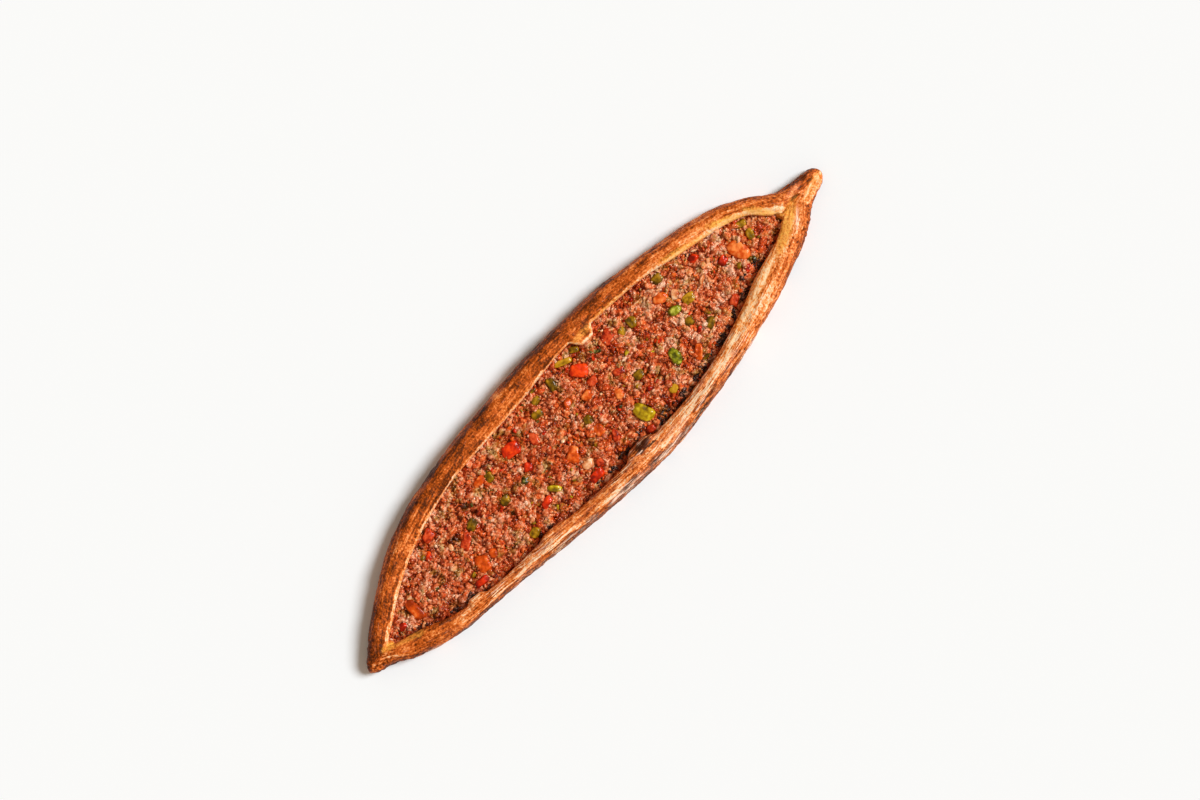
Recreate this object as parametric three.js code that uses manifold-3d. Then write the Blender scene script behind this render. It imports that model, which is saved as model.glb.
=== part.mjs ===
// A Turkish pide with minced meat: a long boat of flat bread whose edges are folded in over the filling
// and pinched to a point at each end, with diced tomato, green pepper and onion bedded in the mince.
//
// Frame: millimetres, +Z up. The boat lies along X with its blunt tip at +X, the front rim on the -Y side
// and the back rim on the +Y side. The origin is under the middle of the boat's box, on the surface that
// the bread rests on.
//
// The rim is a thick rounded fold. Its outer side bulges over a flat base, its crest is half way across,
// and its lip, the edge of the folded dough, hangs just over the filling. Where the two lips meet, the
// tray closes and the rims run on side by side, with a seam between them, as far as the tip.

import * as THREE from "three";
import { mergeVertices } from "three/addons/utils/BufferGeometryUtils.js";
import Module from "manifold-3d";

const wasm = await Module();
wasm.setup();

// Overall sizes, in millimetres.
const LENGTH = 570;
const TIP_LINE_Y = -7.5; // the line through both tips; the plan below is measured from it
const BASE_THICKNESS = 5; // dough under the filling
const PIECE_GAP = 0.3; // clearance between pieces that touch

// The boat's plan: [x, y] knots of each outline, y measured from the line through the tips.
const BACK_OUTER = [
  [-285, 4.5], [-270, 16], [-250, 30], [-200, 57.5], [-150, 71.5], [-90, 78], [-10, 80], [60, 76],
  [120, 66.5], [170, 55.5], [200, 46], [225, 31.5], [246, 14.5], [262, 10.5], [285, 7],
];
const FRONT_OUTER = [
  [-285, -2.5], [-262, -11], [-250, -19.5], [-200, -36], [-150, -42.5], [-100, -51], [-40, -59.5], [30, -65],
  [100, -59.5], [150, -52.5], [200, -40.5], [240, -26.5], [262, -13.5], [285, -8],
];
const BACK_LIP = [
  [-285, 1], [-258, 4.5], [-250, 9], [-200, 35.5], [-150, 51], [-110, 57], [-40, 57.5], [20, 60.5],
  [60, 57.5], [110, 51.5], [150, 41], [200, 27], [215, 19.5], [228, 5], [239, -1], [285, -1],
];
const FRONT_LIP = [
  [-285, 1], [-258, 4], [-250, 0.5], [-225, -8.5], [-200, -20], [-150, -30], [-100, -34], [-50, -40.5],
  [0, -44], [50, -45], [100, -41], [150, -30], [180, -20], [220, -11], [239, -1], [285, -1],
];
// Height of the rim's crest along the boat: [x, z] knots.
const CREST = [
  [-285, 12], [-258, 18.5], [-200, 22], [-100, 24], [100, 24], [200, 22], [239, 19], [262, 15], [285, 12],
];

// Where the folded edge swells over the filling, on the back rim (side 1) or the front rim (side -1).
// A bulge is flat over the first of these shares of its length from its middle, and ends at the second.
const BULGE_FLANK = { from: 0.2, to: 0.5 };
const LIP_BULGES = [
  { side: 1, x: 47, reach: 8.6, length: 26 }, // the bubble of the back rim
  { side: -1, x: -177, reach: 3.5, length: 22 },
  { side: -1, x: -92, reach: 2.5, length: 34 },
  { side: -1, x: 9, reach: 6, length: 38 }, // the scorched blister of the front rim
];

// The hand-shaped rim rises and falls a little, in one wave for each rim that fades out near the tips,
// between these shares of the boat's length from the middle.
const WAVE_FADE = { from: 0.38, to: 0.46 };
const CREST_WAVES = [
  { side: 1, height: 0.7, length: 118, phase: 0.6 },
  { side: -1, height: 0.8, length: 94, phase: 2.1 },
];

// A tip is rounded off over this length, in plan and from below.
const TIP_ROUNDING = { start: 6, end: 9 };
const TIP_CENTRE_Z = 5;

// One rim's cross-section, as pairs: share of its width in from the outside, share of the crest's height.
const RIM_OUTSIDE = [
  [0.3, 0], [0.12, 0.03], [0.02, 0.2], [0, 0.4], [0.05, 0.64], [0.17, 0.86], [0.34, 0.98], [0.5, 1],
  [0.68, 0.95],
];
const LIP_OPEN = [[0.84, 0.84], [0.95, 0.74], [1, 0.66], [0.98, 0.58], [0.92, 0.53], [0.9, 0.4], [0.93, 0]];
const WALL_FOOT = 0.93; // share of the rim's width at which the wall under the lip meets the floor
// Where the rims have met, the lip lies flat and becomes the side of the seam.
const LIP_SHUT = [
  [0.78, 0.93], [0.86, 0.89], [0.92, 0.86], [0.95, 0.84], [0.97, 0.83], [0.985, 0.82], [1, 0.81],
];
const SEAM_HALF_WIDTH = 0.3;
// Past the meeting point the rims are pinched into one: the seam fills up to the crest from the first to
// the second of these places along X.
const PINCH = { pointedEnd: [-256, -270], bluntEnd: [241, 257] };
const OPENING_SHUT = 2; // the tray is shut where its opening is narrower than this,
const OPENING_CLEAR = 12; // and fully open where it is wider than this

// How finely the bread and the mince are divided along X, in even steps and at angles round each tip.
const STATION_SPACING = 10.5;
const TIP_STATION_ANGLES = [14, 38, 64];

// The mince meets the walls at these shares of the crest's height, just under the back lip and lower along
// the front one, and rises in the middle. Two slanting waves make its top uneven: each gives the length
// over which it turns by a radian along X and across.
const FILLING = { backEdge: 0.5, frontEdge: 0.38, crown: 2.4, relief: 0.5, strips: 8 };
const FILLING_WAVES = [
  { along: 9.7, across: 6.1, phase: 0 },
  { along: 17.3, across: -8.9, phase: 1.3 },
];

// Diced toppings: x and y as in the plan, length, width, and the length's heading in degrees from +X.
const TOMATO_RED = [
  [-166, 40.5, 12, 9, 10], [-147.5, 13.5, 16, 8, 26], [-152.5, -9.5, 14, 12, 70], [-164, -18.6, 13, 7, -12],
  [-65, 37, 16, 13, -20], [-66, 16.5, 9, 7, 40], [-78, -15, 12, 7, 8], [-45, 29, 12, 8, 68],
  [23, 38.6, 15.5, 12.5, -46], [24, 24.3, 11, 7, -8], [45, 13, 11, 7, -20], [60, 40, 14, 10, 15],
  [114, 28, 14, 9.5, -22], [173, 10, 9, 7, 15], [27, -39.2, 9, 7, -20], [-33, -31.5, 15, 8, -5],
  [155, -19.5, 11, 7, 20], [-23, -26, 8, 7, 60], [3, -20.5, 11, 6, 60],
];
const TOMATO_ORANGE = [
  [-219.5, 7.5, 20, 10, 83], [-33, -5, 15, 11, 35], [-3, -7, 11, 9, 80], [102, -26, 14, 7, 42],
  [-103, 39, 12, 7, 5], [12, 19.5, 11, 8, 10], [188.5, 6, 21, 14, 98], [-140, -9.5, 9, 8, 60],
  [31, 0.5, 9, 8, 60],
];
const PEPPER_GREEN = [
  [33, -25.2, 20, 13.5, 101], [114.5, 12.3, 13, 8, -22], [86, -14, 16, 10, 70], [-65, -12, 14, 6, -48],
];
const PEPPER_OLIVE = [
  [-100, 12, 10, 8, 0], [-28, 40.5, 11, 7, -20], [-3, 5.5, 9, 8, 60], [83, 33, 10, 9, 80],
  [54, -1, 10, 8, -10], [124.5, 41, 11, 8.5, 0], [130, 10.5, 12, 9, -15], [116, -3, 10, 8, -20],
  [127, -17, 11, 8, 30], [206, 19.5, 11, 6, -20], [205, 8, 10, 7, 70], [-134, 19.6, 12, 8, 20],
  [-1, 48, 12, 8, 75], [-94.5, 35, 9, 8, 80], [-104, -24.5, 10, 8, 20], [-20.5, 49, 9, 7, 10],
  [72, 33.8, 8, 6.5, 20], [65, -31, 9, 7, 10], [19, 53.5, 17, 5.5, -26], [33, 54, 9, 6, -38],
];
const ONION = [[-30.8, -19.5, 11, 8, -20], [211.7, 15.4, 8.5, 3.5, 36], [124.5, 21.3, 9.5, 7, 45]];

// One kind of topping: its pieces, its colour, how thick they are, how far they stand out of the mince
// and how square their corners are, as a superellipse's exponent.
const TOPPINGS = [
  { name: "tomato_red", pieces: TOMATO_RED, colour: 0xd8401c, thickness: 6, proud: 2.2, square: 3.2 },
  { name: "tomato_orange", pieces: TOMATO_ORANGE, colour: 0xd0581e, thickness: 6, proud: 1.9, square: 2.8 },
  { name: "pepper_green", pieces: PEPPER_GREEN, colour: 0x9a8c1e, thickness: 6, proud: 2.6, square: 2.4 },
  { name: "pepper_olive", pieces: PEPPER_OLIVE, colour: 0x8f6c14, thickness: 4.5, proud: 1.4, square: 2.8 },
  { name: "onion", pieces: ONION, colour: 0xdf9a68, thickness: 4, proud: 1.3, square: 2.6 },
];
const TOPPING_SIDES = 8;
// A topping's rings from its top down: share of half its thickness, share of its plan size.
const TOPPING_RINGS = [[0.72, 0.8], [-0.1, 1]];
// A corner falls short by this share of its reach on average, in radians that step by corner and by piece.
const UNEVENNESS = { share: 0.06, perCorner: 2.4, perPiece: 1.7 };

// A value between a and b, and the smooth step from 0 to 1 between two limits.
const mix = (a, b, t) => a + (b - a) * t;
function smoothstep(low, high, value) {
  const t = THREE.MathUtils.clamp((value - low) / (high - low), 0, 1);
  return t * t * (3 - 2 * t);
}

// A smooth curve through [x, y] knots that never swings past them: a monotone cubic, as a function of x.
function curveThrough(knots) {
  const slopes = knots.slice(1).map(([x, y], i) => (y - knots[i][1]) / (x - knots[i][0]));
  const tangents = knots.map((_, i) => {
    if (i === 0) return slopes[0];
    if (i === slopes.length) return slopes[i - 1];
    const [before, after] = [slopes[i - 1], slopes[i]];
    return before * after <= 0 ? 0 : (2 * before * after) / (before + after);
  });
  return (x) => {
    const found = knots.findIndex((knot) => knot[0] > x);
    const i = THREE.MathUtils.clamp(found < 0 ? slopes.length - 1 : found - 1, 0, slopes.length - 1);
    const width = knots[i + 1][0] - knots[i][0];
    const t = THREE.MathUtils.clamp((x - knots[i][0]) / width, 0, 1);
    const rise = t * t * (3 - 2 * t);
    return (
      mix(knots[i][1], knots[i + 1][1], rise) +
      t * (1 - t) * width * ((1 - t) * tangents[i] - t * tangents[i + 1])
    );
  };
}

const backOuter = curveThrough(BACK_OUTER);
const frontOuter = curveThrough(FRONT_OUTER);
const backLip = curveThrough(BACK_LIP);
const frontLip = curveThrough(FRONT_LIP);
const crest = curveThrough(CREST);

// How far the blisters and flaps push a rim's lip over the filling at x.
function lipBulge(x, side) {
  const push = ({ x: middle, reach, length }) =>
    reach * (1 - smoothstep(BULGE_FLANK.from * length, BULGE_FLANK.to * length, Math.abs(x - middle)));
  return LIP_BULGES.filter((bulge) => bulge.side === side)
    .map(push)
    .reduce((sum, reach) => sum + reach, 0);
}

// A rim's crest height at x, with its hand-made wave.
function rimHeight(x, side) {
  const wave = CREST_WAVES.find((candidate) => candidate.side === side);
  const fade = 1 - smoothstep(WAVE_FADE.from * LENGTH, WAVE_FADE.to * LENGTH, Math.abs(x));
  return crest(x) + fade * wave.height * Math.sin((2 * Math.PI * x) / wave.length + wave.phase);
}

// The tray's opening at x: its two lips in the part's frame, and how far shut it is, from 0 to 1.
function trayAt(x) {
  const back = backLip(x) - lipBulge(x, 1);
  const front = frontLip(x) + lipBulge(x, -1);
  const middle = (back + front) / 2 + TIP_LINE_Y;
  const half = Math.max((back - front) / 2, SEAM_HALF_WIDTH);
  const shut = 1 - smoothstep(OPENING_SHUT, OPENING_CLEAR, 2 * half);
  return { back: middle + half, front: middle - half, shut };
}

// How much the boat's section has shrunk at x: 1 along the body, and a quarter circle down to 0 at each tip.
function tipShrink(x) {
  const rounding = x < 0 ? TIP_ROUNDING.start : TIP_ROUNDING.end;
  const past = Math.max(0, Math.abs(x) - (LENGTH / 2 - rounding)) / rounding;
  return Math.sqrt(Math.max(0, 1 - past * past));
}

// One rim's section at x as [y, z] pairs, from the base's edge over the crest and lip to the tray's floor.
function rimSection(x, side, tray) {
  const outer = (side > 0 ? backOuter(x) : frontOuter(x)) + TIP_LINE_Y;
  const lip = side > 0 ? tray.back : tray.front;
  const height = rimHeight(x, side);
  const pinched = smoothstep(...(x < 0 ? PINCH.pointedEnd : PINCH.bluntEnd), x);
  const inside = LIP_OPEN.map(([across, up], i) => [
    mix(across, LIP_SHUT[i][0], tray.shut),
    mix(Math.max(up, BASE_THICKNESS / height), LIP_SHUT[i][1], tray.shut),
  ]);
  return [...RIM_OUTSIDE, ...inside].map(([across, up]) => {
    const filled = across > 0.5 ? mix(up, 1, pinched) : up;
    return [mix(outer, lip, across), filled * height];
  });
}

// The crust's closed section at x: the front rim inwards, then the back rim outwards.
function crustRing(x) {
  const tray = trayAt(x);
  const seam = (tray.back + tray.front) / 2;
  const shrink = tipShrink(x);
  return [...rimSection(x, -1, tray), ...rimSection(x, 1, tray).reverse()].map(
    ([y, z]) => new THREE.Vector3(x, mix(seam, y, shrink), mix(TIP_CENTRE_Z, z, shrink)),
  );
}

// A closed surface over rings of equal count, from a start point to an end point. Seen from the end
// point, each ring runs clockwise, so that the faces point outwards.
function loft(rings, startPoint, endPoint) {
  const count = rings[0].length;
  const vertices = [...rings.flat(), startPoint, endPoint];
  const [start, end] = [vertices.length - 2, vertices.length - 1];
  const lastRing = (rings.length - 1) * count;
  const faces = [];
  for (let k = 0; k < count; k++) {
    const next = (k + 1) % count;
    faces.push(start, k, next, end, lastRing + next, lastRing + k);
    for (let ring = 0; ring < lastRing; ring += count) {
      const [a, b, c, d] = [ring + k, ring + next, ring + count + next, ring + count + k];
      faces.push(a, c, b, a, d, c);
    }
  }
  return new THREE.BufferGeometry().setFromPoints(vertices).setIndex(faces);
}

// Evenly spaced values from low to high, about spacing apart.
function evenly(low, high, spacing) {
  const steps = Math.ceil((high - low) / spacing);
  return Array.from({ length: steps + 1 }, (_, i) => mix(low, high, i / steps));
}

// Where along the body the sections stand. The mince shares them, so that it keeps its gap to the walls.
const BODY_ENDS = [TIP_ROUNDING.start - LENGTH / 2, LENGTH / 2 - TIP_ROUNDING.end];
const BODY_STATIONS = evenly(...BODY_ENDS, STATION_SPACING);

// The bread: a section at each station of the body and at a few angles round each rounded tip.
function crustGeometry() {
  const half = LENGTH / 2;
  const round = (angle, rounding) => half - rounding * (1 - Math.sin(THREE.MathUtils.degToRad(angle)));
  const startTip = TIP_STATION_ANGLES.map((angle) => -round(angle, TIP_ROUNDING.start)).reverse();
  const endTip = TIP_STATION_ANGLES.map((angle) => round(angle, TIP_ROUNDING.end));
  const tip = (x) => new THREE.Vector3(x, trayAt(x).back - SEAM_HALF_WIDTH, TIP_CENTRE_Z);
  return loft([...startTip, ...BODY_STATIONS, ...endTip].map(crustRing), tip(-half), tip(half));
}

// The walls that hold the mince at x, and the height of its edge at each.
function fillingEdges(x) {
  const tray = trayAt(x);
  const wall = (side) => {
    const outer = (side > 0 ? backOuter(x) : frontOuter(x)) + TIP_LINE_Y;
    const lip = side > 0 ? tray.back : tray.front;
    return mix(outer, lip, WALL_FOOT) - side * PIECE_GAP;
  };
  const backZ = FILLING.backEdge * rimHeight(x, 1);
  const frontZ = FILLING.frontEdge * rimHeight(x, -1);
  return { back: wall(1), front: wall(-1), backZ, frontZ };
}

// Height of the mince's uneven top at share t of the way from the front wall to the back wall.
function fillingTop(x, t, edges) {
  const y = mix(edges.front, edges.back, t);
  const waves = FILLING_WAVES.map((wave) => Math.sin(x / wave.along + y / wave.across + wave.phase));
  const relief = (FILLING.relief * waves.reduce((sum, wave) => sum + wave, 0)) / waves.length;
  return mix(edges.frontZ, edges.backZ, t) + 4 * t * (1 - t) * (FILLING.crown + relief);
}

// The mince: a flat-bottomed slab between the walls, under the crowned and uneven top.
function fillingRing(x) {
  const edges = fillingEdges(x);
  const bottom = BASE_THICKNESS + PIECE_GAP;
  const top = evenly(0, 1, 1 / FILLING.strips).map(
    (t) => new THREE.Vector3(x, mix(edges.front, edges.back, t), fillingTop(x, t, edges)),
  );
  return [new THREE.Vector3(x, edges.front, bottom), ...top, new THREE.Vector3(x, edges.back, bottom)];
}

// The mince's height over a point of the plan, where a topping lies.
function fillingTopAt(x, y) {
  const edges = fillingEdges(x);
  return fillingTop(x, THREE.MathUtils.clamp((y - edges.front) / (edges.back - edges.front), 0, 1), edges);
}

function fillingGeometry() {
  const rings = BODY_STATIONS.filter((x) => trayAt(x).shut === 0).map(fillingRing);
  const middle = (ring) => ring.reduce((sum, v) => sum.add(v), new THREE.Vector3()).divideScalar(ring.length);
  return loft(rings, middle(rings[0]), middle(rings.at(-1)));
}

// A diced vegetable: rings of a rounded rectangle with uneven corners, closed at the top and underneath.
function diceGeometry([, , length, width], kind, seed) {
  const half = kind.thickness / 2;
  const rings = TOPPING_RINGS.map(([up, size]) =>
    Array.from({ length: TOPPING_SIDES }, (_, k) => {
      const angle = (2 * Math.PI * (k + 0.5)) / TOPPING_SIDES;
      const [c, s] = [Math.cos(angle), Math.sin(angle)];
      const rounded = (Math.abs(c) ** kind.square + Math.abs(s) ** kind.square) ** (-1 / kind.square);
      const swing = Math.sin(UNEVENNESS.perCorner * k + UNEVENNESS.perPiece * seed);
      const uneven = 1 - UNEVENNESS.share * (1 + swing);
      const reach = size * rounded * uneven;
      return new THREE.Vector3((reach * c * length) / 2, (reach * s * width) / 2, up * half);
    }),
  );
  return loft(rings, new THREE.Vector3(0, 0, half), new THREE.Vector3(0, 0, -half));
}

// The matrix that beds one topping in the mince's top, turned to its heading.
function toppingPlace([x, y, , , heading], kind) {
  const frameY = y + TIP_LINE_Y;
  const centreZ = fillingTopAt(x, frameY) + kind.proud - kind.thickness / 2;
  return new THREE.Matrix4()
    .makeTranslation(x, frameY, centreZ)
    .multiply(new THREE.Matrix4().makeRotationZ(THREE.MathUtils.degToRad(heading)));
}

// A closed geometry as a solid that can be cut, and back.
function toSolid(geometry) {
  const merged = mergeVertices(geometry, 1e-4);
  const mesh = new wasm.Mesh({
    numProp: 3,
    vertProperties: merged.getAttribute("position").array,
    triVerts: new Uint32Array(merged.getIndex().array),
  });
  return new wasm.Manifold(mesh);
}
function toGeometry(solid) {
  const mesh = solid.getMesh();
  return new THREE.BufferGeometry()
    .setAttribute("position", new THREE.BufferAttribute(mesh.vertProperties, 3))
    .setIndex(new THREE.BufferAttribute(mesh.triVerts, 1));
}

function material(colour, roughness) {
  return new THREE.MeshStandardMaterial({ color: colour, roughness, metalness: 0 });
}

function named(name, geometry, look) {
  geometry.computeVertexNormals();
  const mesh = new THREE.Mesh(geometry, look);
  mesh.name = name;
  return mesh;
}

const pide = new THREE.Group();
pide.add(named("crust", crustGeometry(), material(0xc8712f, 0.75)));

let mince = toSolid(fillingGeometry());
for (const kind of TOPPINGS) {
  const look = material(kind.colour, 0.4);
  kind.pieces.forEach((piece, i) => {
    const geometry = diceGeometry(piece, kind, i);
    const place = toppingPlace(piece, kind);
    const [, , length, width] = piece;
    const clearance = [length, width, kind.thickness].map((size) => (size + 2 * PIECE_GAP) / size);
    mince = mince.subtract(toSolid(geometry.clone().scale(...clearance).applyMatrix4(place)));
    const topping = named(`${kind.name}_${i + 1}`, geometry, look);
    topping.applyMatrix4(place);
    pide.add(topping);
  });
}
pide.add(named("mince", toGeometry(mince), material(0xb5572f, 0.5)));

export default pide;
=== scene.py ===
"""Looks of a Turkish pide: an open boat of hand-shaped flat bread, baked round a filling of minced meat
with diced tomato, green pepper and onion.

Shapes are worked out as whole arrays in millimetres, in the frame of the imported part: the boat lies along
X with its blunt tip at +X, the front rim is on the -Y side and the back rim on the +Y side. Meshes are
written in metres. Outlines are measured across from the line through both tips, as the part's own are.
"""

import logging
import math
from dataclasses import dataclass, field
from enum import Enum, auto
from typing import Any

import bpy
import numpy as np
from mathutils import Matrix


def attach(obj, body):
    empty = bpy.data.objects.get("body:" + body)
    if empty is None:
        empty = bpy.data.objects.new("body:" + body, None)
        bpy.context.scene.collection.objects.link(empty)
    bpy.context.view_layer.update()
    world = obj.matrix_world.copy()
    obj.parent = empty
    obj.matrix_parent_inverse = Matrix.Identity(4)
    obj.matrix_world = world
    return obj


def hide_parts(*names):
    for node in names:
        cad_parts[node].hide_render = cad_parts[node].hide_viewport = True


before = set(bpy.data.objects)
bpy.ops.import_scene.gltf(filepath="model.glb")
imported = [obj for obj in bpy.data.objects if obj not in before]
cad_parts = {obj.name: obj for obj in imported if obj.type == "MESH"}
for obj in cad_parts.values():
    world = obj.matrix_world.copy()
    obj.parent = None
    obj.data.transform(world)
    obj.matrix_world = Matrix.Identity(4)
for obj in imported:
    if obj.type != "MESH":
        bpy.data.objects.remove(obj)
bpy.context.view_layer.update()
BODY = "root"
MM = 0.001
TIP_LINE_Y = -7.5
HALF_LENGTH = 285.0
# The parts of a section's ring, round from the front rim's foot.
FRONT, FLOOR, BACK, SOLE = -1.0, 0.0, 1.0, -2.0

Array = np.ndarray
Random = np.random.Generator
Knots = tuple[tuple[float, float], ...]
Link = tuple[bpy.types.Node, str | int]  # a node and one of its outputs
log = logging.getLogger("pide")


# ------------------------------------------------------------------ arithmetic


def linear(code: str) -> tuple[float, float, float, float]:
    """Turns an sRGB colour into the linear one that shaders take.

    Args:
        code: the colour as "#rrggbb".

    Returns:
        Linear red, green and blue, and an alpha of 1.
    """
    parts = [int(code[i : i + 2], 16) / 255 for i in (1, 3, 5)]
    red, green, blue = (p / 12.92 if p <= 0.04045 else ((p + 0.055) / 1.055) ** 2.4 for p in parts)
    return red, green, blue, 1.0


def smoothstep(low: Any, high: Any, value: Array) -> Array:
    """A smooth rise from 0 at low to 1 at high: 3t^2 - 2t^3 of the clipped share t.

    Args:
        low: where the rise begins.
        high: where it ends; it may be below low, for a fall.
        value: the values to look up.

    Returns:
        The rise at each value.
    """
    t = np.clip((value - low) / (np.asarray(high, float) - low), 0, 1)
    return t * t * (3 - 2 * t)


def window(value: Array, low: float, high: float, soft: float) -> Array:
    """A plateau of 1 between low and high, with smooth flanks of the width soft outside it.

    Args:
        value: the values to look up.
        low: the plateau's start.
        high: the plateau's end.
        soft: the width of each flank.

    Returns:
        The plateau's height at each value.
    """
    return smoothstep(low - soft, low, value) * smoothstep(high + soft, high, value)


def turned(x: Array, y: Array, degrees: float | Array) -> tuple[Array, Array]:
    """Coordinates of plan points along and across a heading.

    Args:
        x: the points' x.
        y: the points' y.
        degrees: the heading, anticlockwise from +X.

    Returns:
        The points' distance along the heading and across it.
    """
    c, s = np.cos(np.radians(degrees)), np.sin(np.radians(degrees))
    return x * c + y * s, y * c - x * s


@dataclass(frozen=True)
class Unevenness:
    """Seeded gradient noise, for hand-made and baked surfaces.

    Each corner of a cubic lattice has a random slope. A point's value blends the eight slopes round it
    by the smooth step of its place in the cell, and halves in size and strength with each octave.
    """

    seed: int
    size: float
    octaves: int = 2

    def __call__(self, points: Array, stretch: tuple[float, float, float] = (1, 1, 1)) -> Array:
        """Looks the noise up.

        Args:
            points: an array of points whose last axis is x, y and z, in millimetres.
            stretch: how many times longer its lumps are along x, y and z.

        Returns:
            One value for each point, about -1 to 1.
        """
        rng = np.random.default_rng(self.seed)
        table = rng.normal(size=(4096, 3))
        table /= np.linalg.norm(table, axis=1, keepdims=True)
        total, weight = 0.0, 1.0
        for octave in range(self.octaves):
            scaled = points / (self.size * 0.5**octave * np.asarray(stretch, float)) + 31.7 * octave
            cell = np.floor(scaled).astype(np.int64)
            part = scaled - cell
            ease = part * part * (3 - 2 * part)
            value = 0.0
            for corner in np.ndindex(2, 2, 2):
                key = (cell + corner) @ np.array([73856093, 19349663, 83492791])
                slope = table[(key ^ (key >> 13)) % 4096]
                share = np.prod(np.where(np.array(corner) == 1, ease, 1 - ease), axis=-1)
                value = value + share * np.sum(slope * (part - corner), axis=-1)
            total = total + weight * value * 2.2
            weight *= 0.5
        return total


@dataclass(frozen=True)
class Outline:
    """A smooth curve through (x, value) knots that never swings past them.

    Between two knots it is the smooth step from one value to the other, plus t (1 - t) times the span's
    width times the tangents, each weighted by nearness. An inner tangent is the harmonic mean of the
    slopes beside it, or 0 where they turn.
    """

    knots: Knots

    def __call__(self, x: Array) -> Array:
        """Looks the curve up.

        Args:
            x: places along the boat, in millimetres.

        Returns:
            The curve's value at each.
        """
        xs, ys = np.array(self.knots, float).T
        slopes = np.diff(ys) / np.diff(xs)
        before, after = slopes[:-1], slopes[1:]
        same_way = before * after > 0
        total = np.where(same_way, before + after, 1)
        inner = np.where(same_way, 2 * before * after / total, 0)
        tangents = np.concatenate([slopes[:1], inner, slopes[-1:]])
        i = np.clip(np.searchsorted(xs, x, side="right") - 1, 0, len(slopes) - 1)
        width = xs[i + 1] - xs[i]
        t = np.clip((x - xs[i]) / width, 0, 1)
        rise = t * t * (3 - 2 * t)
        bow = t * (1 - t) * width * ((1 - t) * tangents[i] - t * tangents[i + 1])
        return ys[i] * (1 - rise) + ys[i + 1] * rise + bow


# ------------------------------------------------------------------ meshes


@dataclass
class Surface:
    """A mesh's arrays before it is written: vertices, four-sided and three-sided faces, and values."""

    vertices: Array
    quads: Array
    triangles: Array
    values: dict[str, Array] = field(default_factory=dict)

    def dye(self, values: dict[str, Array]) -> None:
        """Gives each of the lumps that it is made of its own values, by name."""
        self.values = {key: np.repeat(each, len(self.vertices) // len(each)) for key, each in values.items()}

    def write(self, name: str, finish: "Finish", slot: str, nodes: tuple[str, ...] = ()) -> bpy.types.Object:
        """Writes the surface as a smooth-shaded object that rides on the part.

        Args:
            name: the object's name.
            finish: the material it wears.
            slot: the material slot's name, which is only logged.
            nodes: the part's nodes that it stands for.

        Returns:
            The new object, at the origin.
        """
        mesh = bpy.data.meshes.new(name)
        mesh.vertices.add(len(self.vertices))
        mesh.vertices.foreach_set("co", (self.vertices * MM).astype(np.float32).ravel())
        corners = np.concatenate([self.quads.ravel(), self.triangles.ravel()]).astype(np.int32)
        sides = np.repeat([4, 3], [len(self.quads), len(self.triangles)])
        mesh.loops.add(len(corners))
        mesh.loops.foreach_set("vertex_index", corners)
        mesh.polygons.add(len(sides))
        mesh.polygons.foreach_set("loop_start", (np.cumsum(sides) - sides).astype(np.int32))
        mesh.polygons.foreach_set("use_smooth", np.ones(len(sides), bool))
        mesh.update(calc_edges=True)
        for key, values in self.values.items():
            attribute = mesh.attributes.new(key, "FLOAT", "POINT")
            attribute.data.foreach_set("value", values.astype(np.float32).ravel())
        mesh.materials.append(finish.material())
        piece = bpy.data.objects.new(name, mesh)
        bpy.context.scene.collection.objects.link(piece)
        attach(piece, BODY)
        if nodes:
            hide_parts(*nodes)
        log.info("%s: %d faces, slot %s", name, len(sides), slot)
        return piece


def loft(rings: Array, start: Array, end: Array, values: dict[str, Array] | None = None) -> Surface:
    """A closed surface over rings of points, from a start point to an end point.

    Seen from the end point each ring runs clockwise, so the faces point outwards.

    Args:
        rings: an array of rings, points and coordinates.
        start: the point that closes the first ring.
        end: the point that closes the last ring.
        values: one value for each ring point, by name; the end points take their ring's mean.

    Returns:
        The closed surface.
    """
    count, sides = rings.shape[:2]
    grid = np.arange(count * sides).reshape(count, sides)
    a, b = grid[:-1], np.roll(grid, -1, axis=1)[:-1]
    d, c = grid[1:], np.roll(grid, -1, axis=1)[1:]
    quads = np.stack([a, d, c, b], axis=-1).reshape(-1, 4)
    first, last = grid[0], grid[-1]
    head = np.stack([np.full(sides, count * sides), first, np.roll(first, -1)], axis=-1)
    tail = np.stack([np.full(sides, count * sides + 1), np.roll(last, -1), last], axis=-1)
    vertices = np.concatenate([rings.reshape(-1, 3), [start, end]])
    closed = {
        key: np.concatenate([value.ravel(), [value[0].mean(), value[-1].mean()]])
        for key, value in (values or {}).items()
    }
    return Surface(vertices, quads, np.concatenate([head, tail]), closed)


def ring_normals(rings: Array) -> Array:
    """Outward normals of a ring grid: the step to the next ring crossed with the step round the ring.

    Args:
        rings: an array of rings, points and coordinates.

    Returns:
        A unit vector for each point.
    """
    along = np.gradient(rings, axis=0)
    round_ring = np.roll(rings, -1, axis=1) - np.roll(rings, 1, axis=1)
    normal = np.cross(along, round_ring)
    return normal / np.maximum(np.linalg.norm(normal, axis=-1, keepdims=True), 1e-9)


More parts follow.
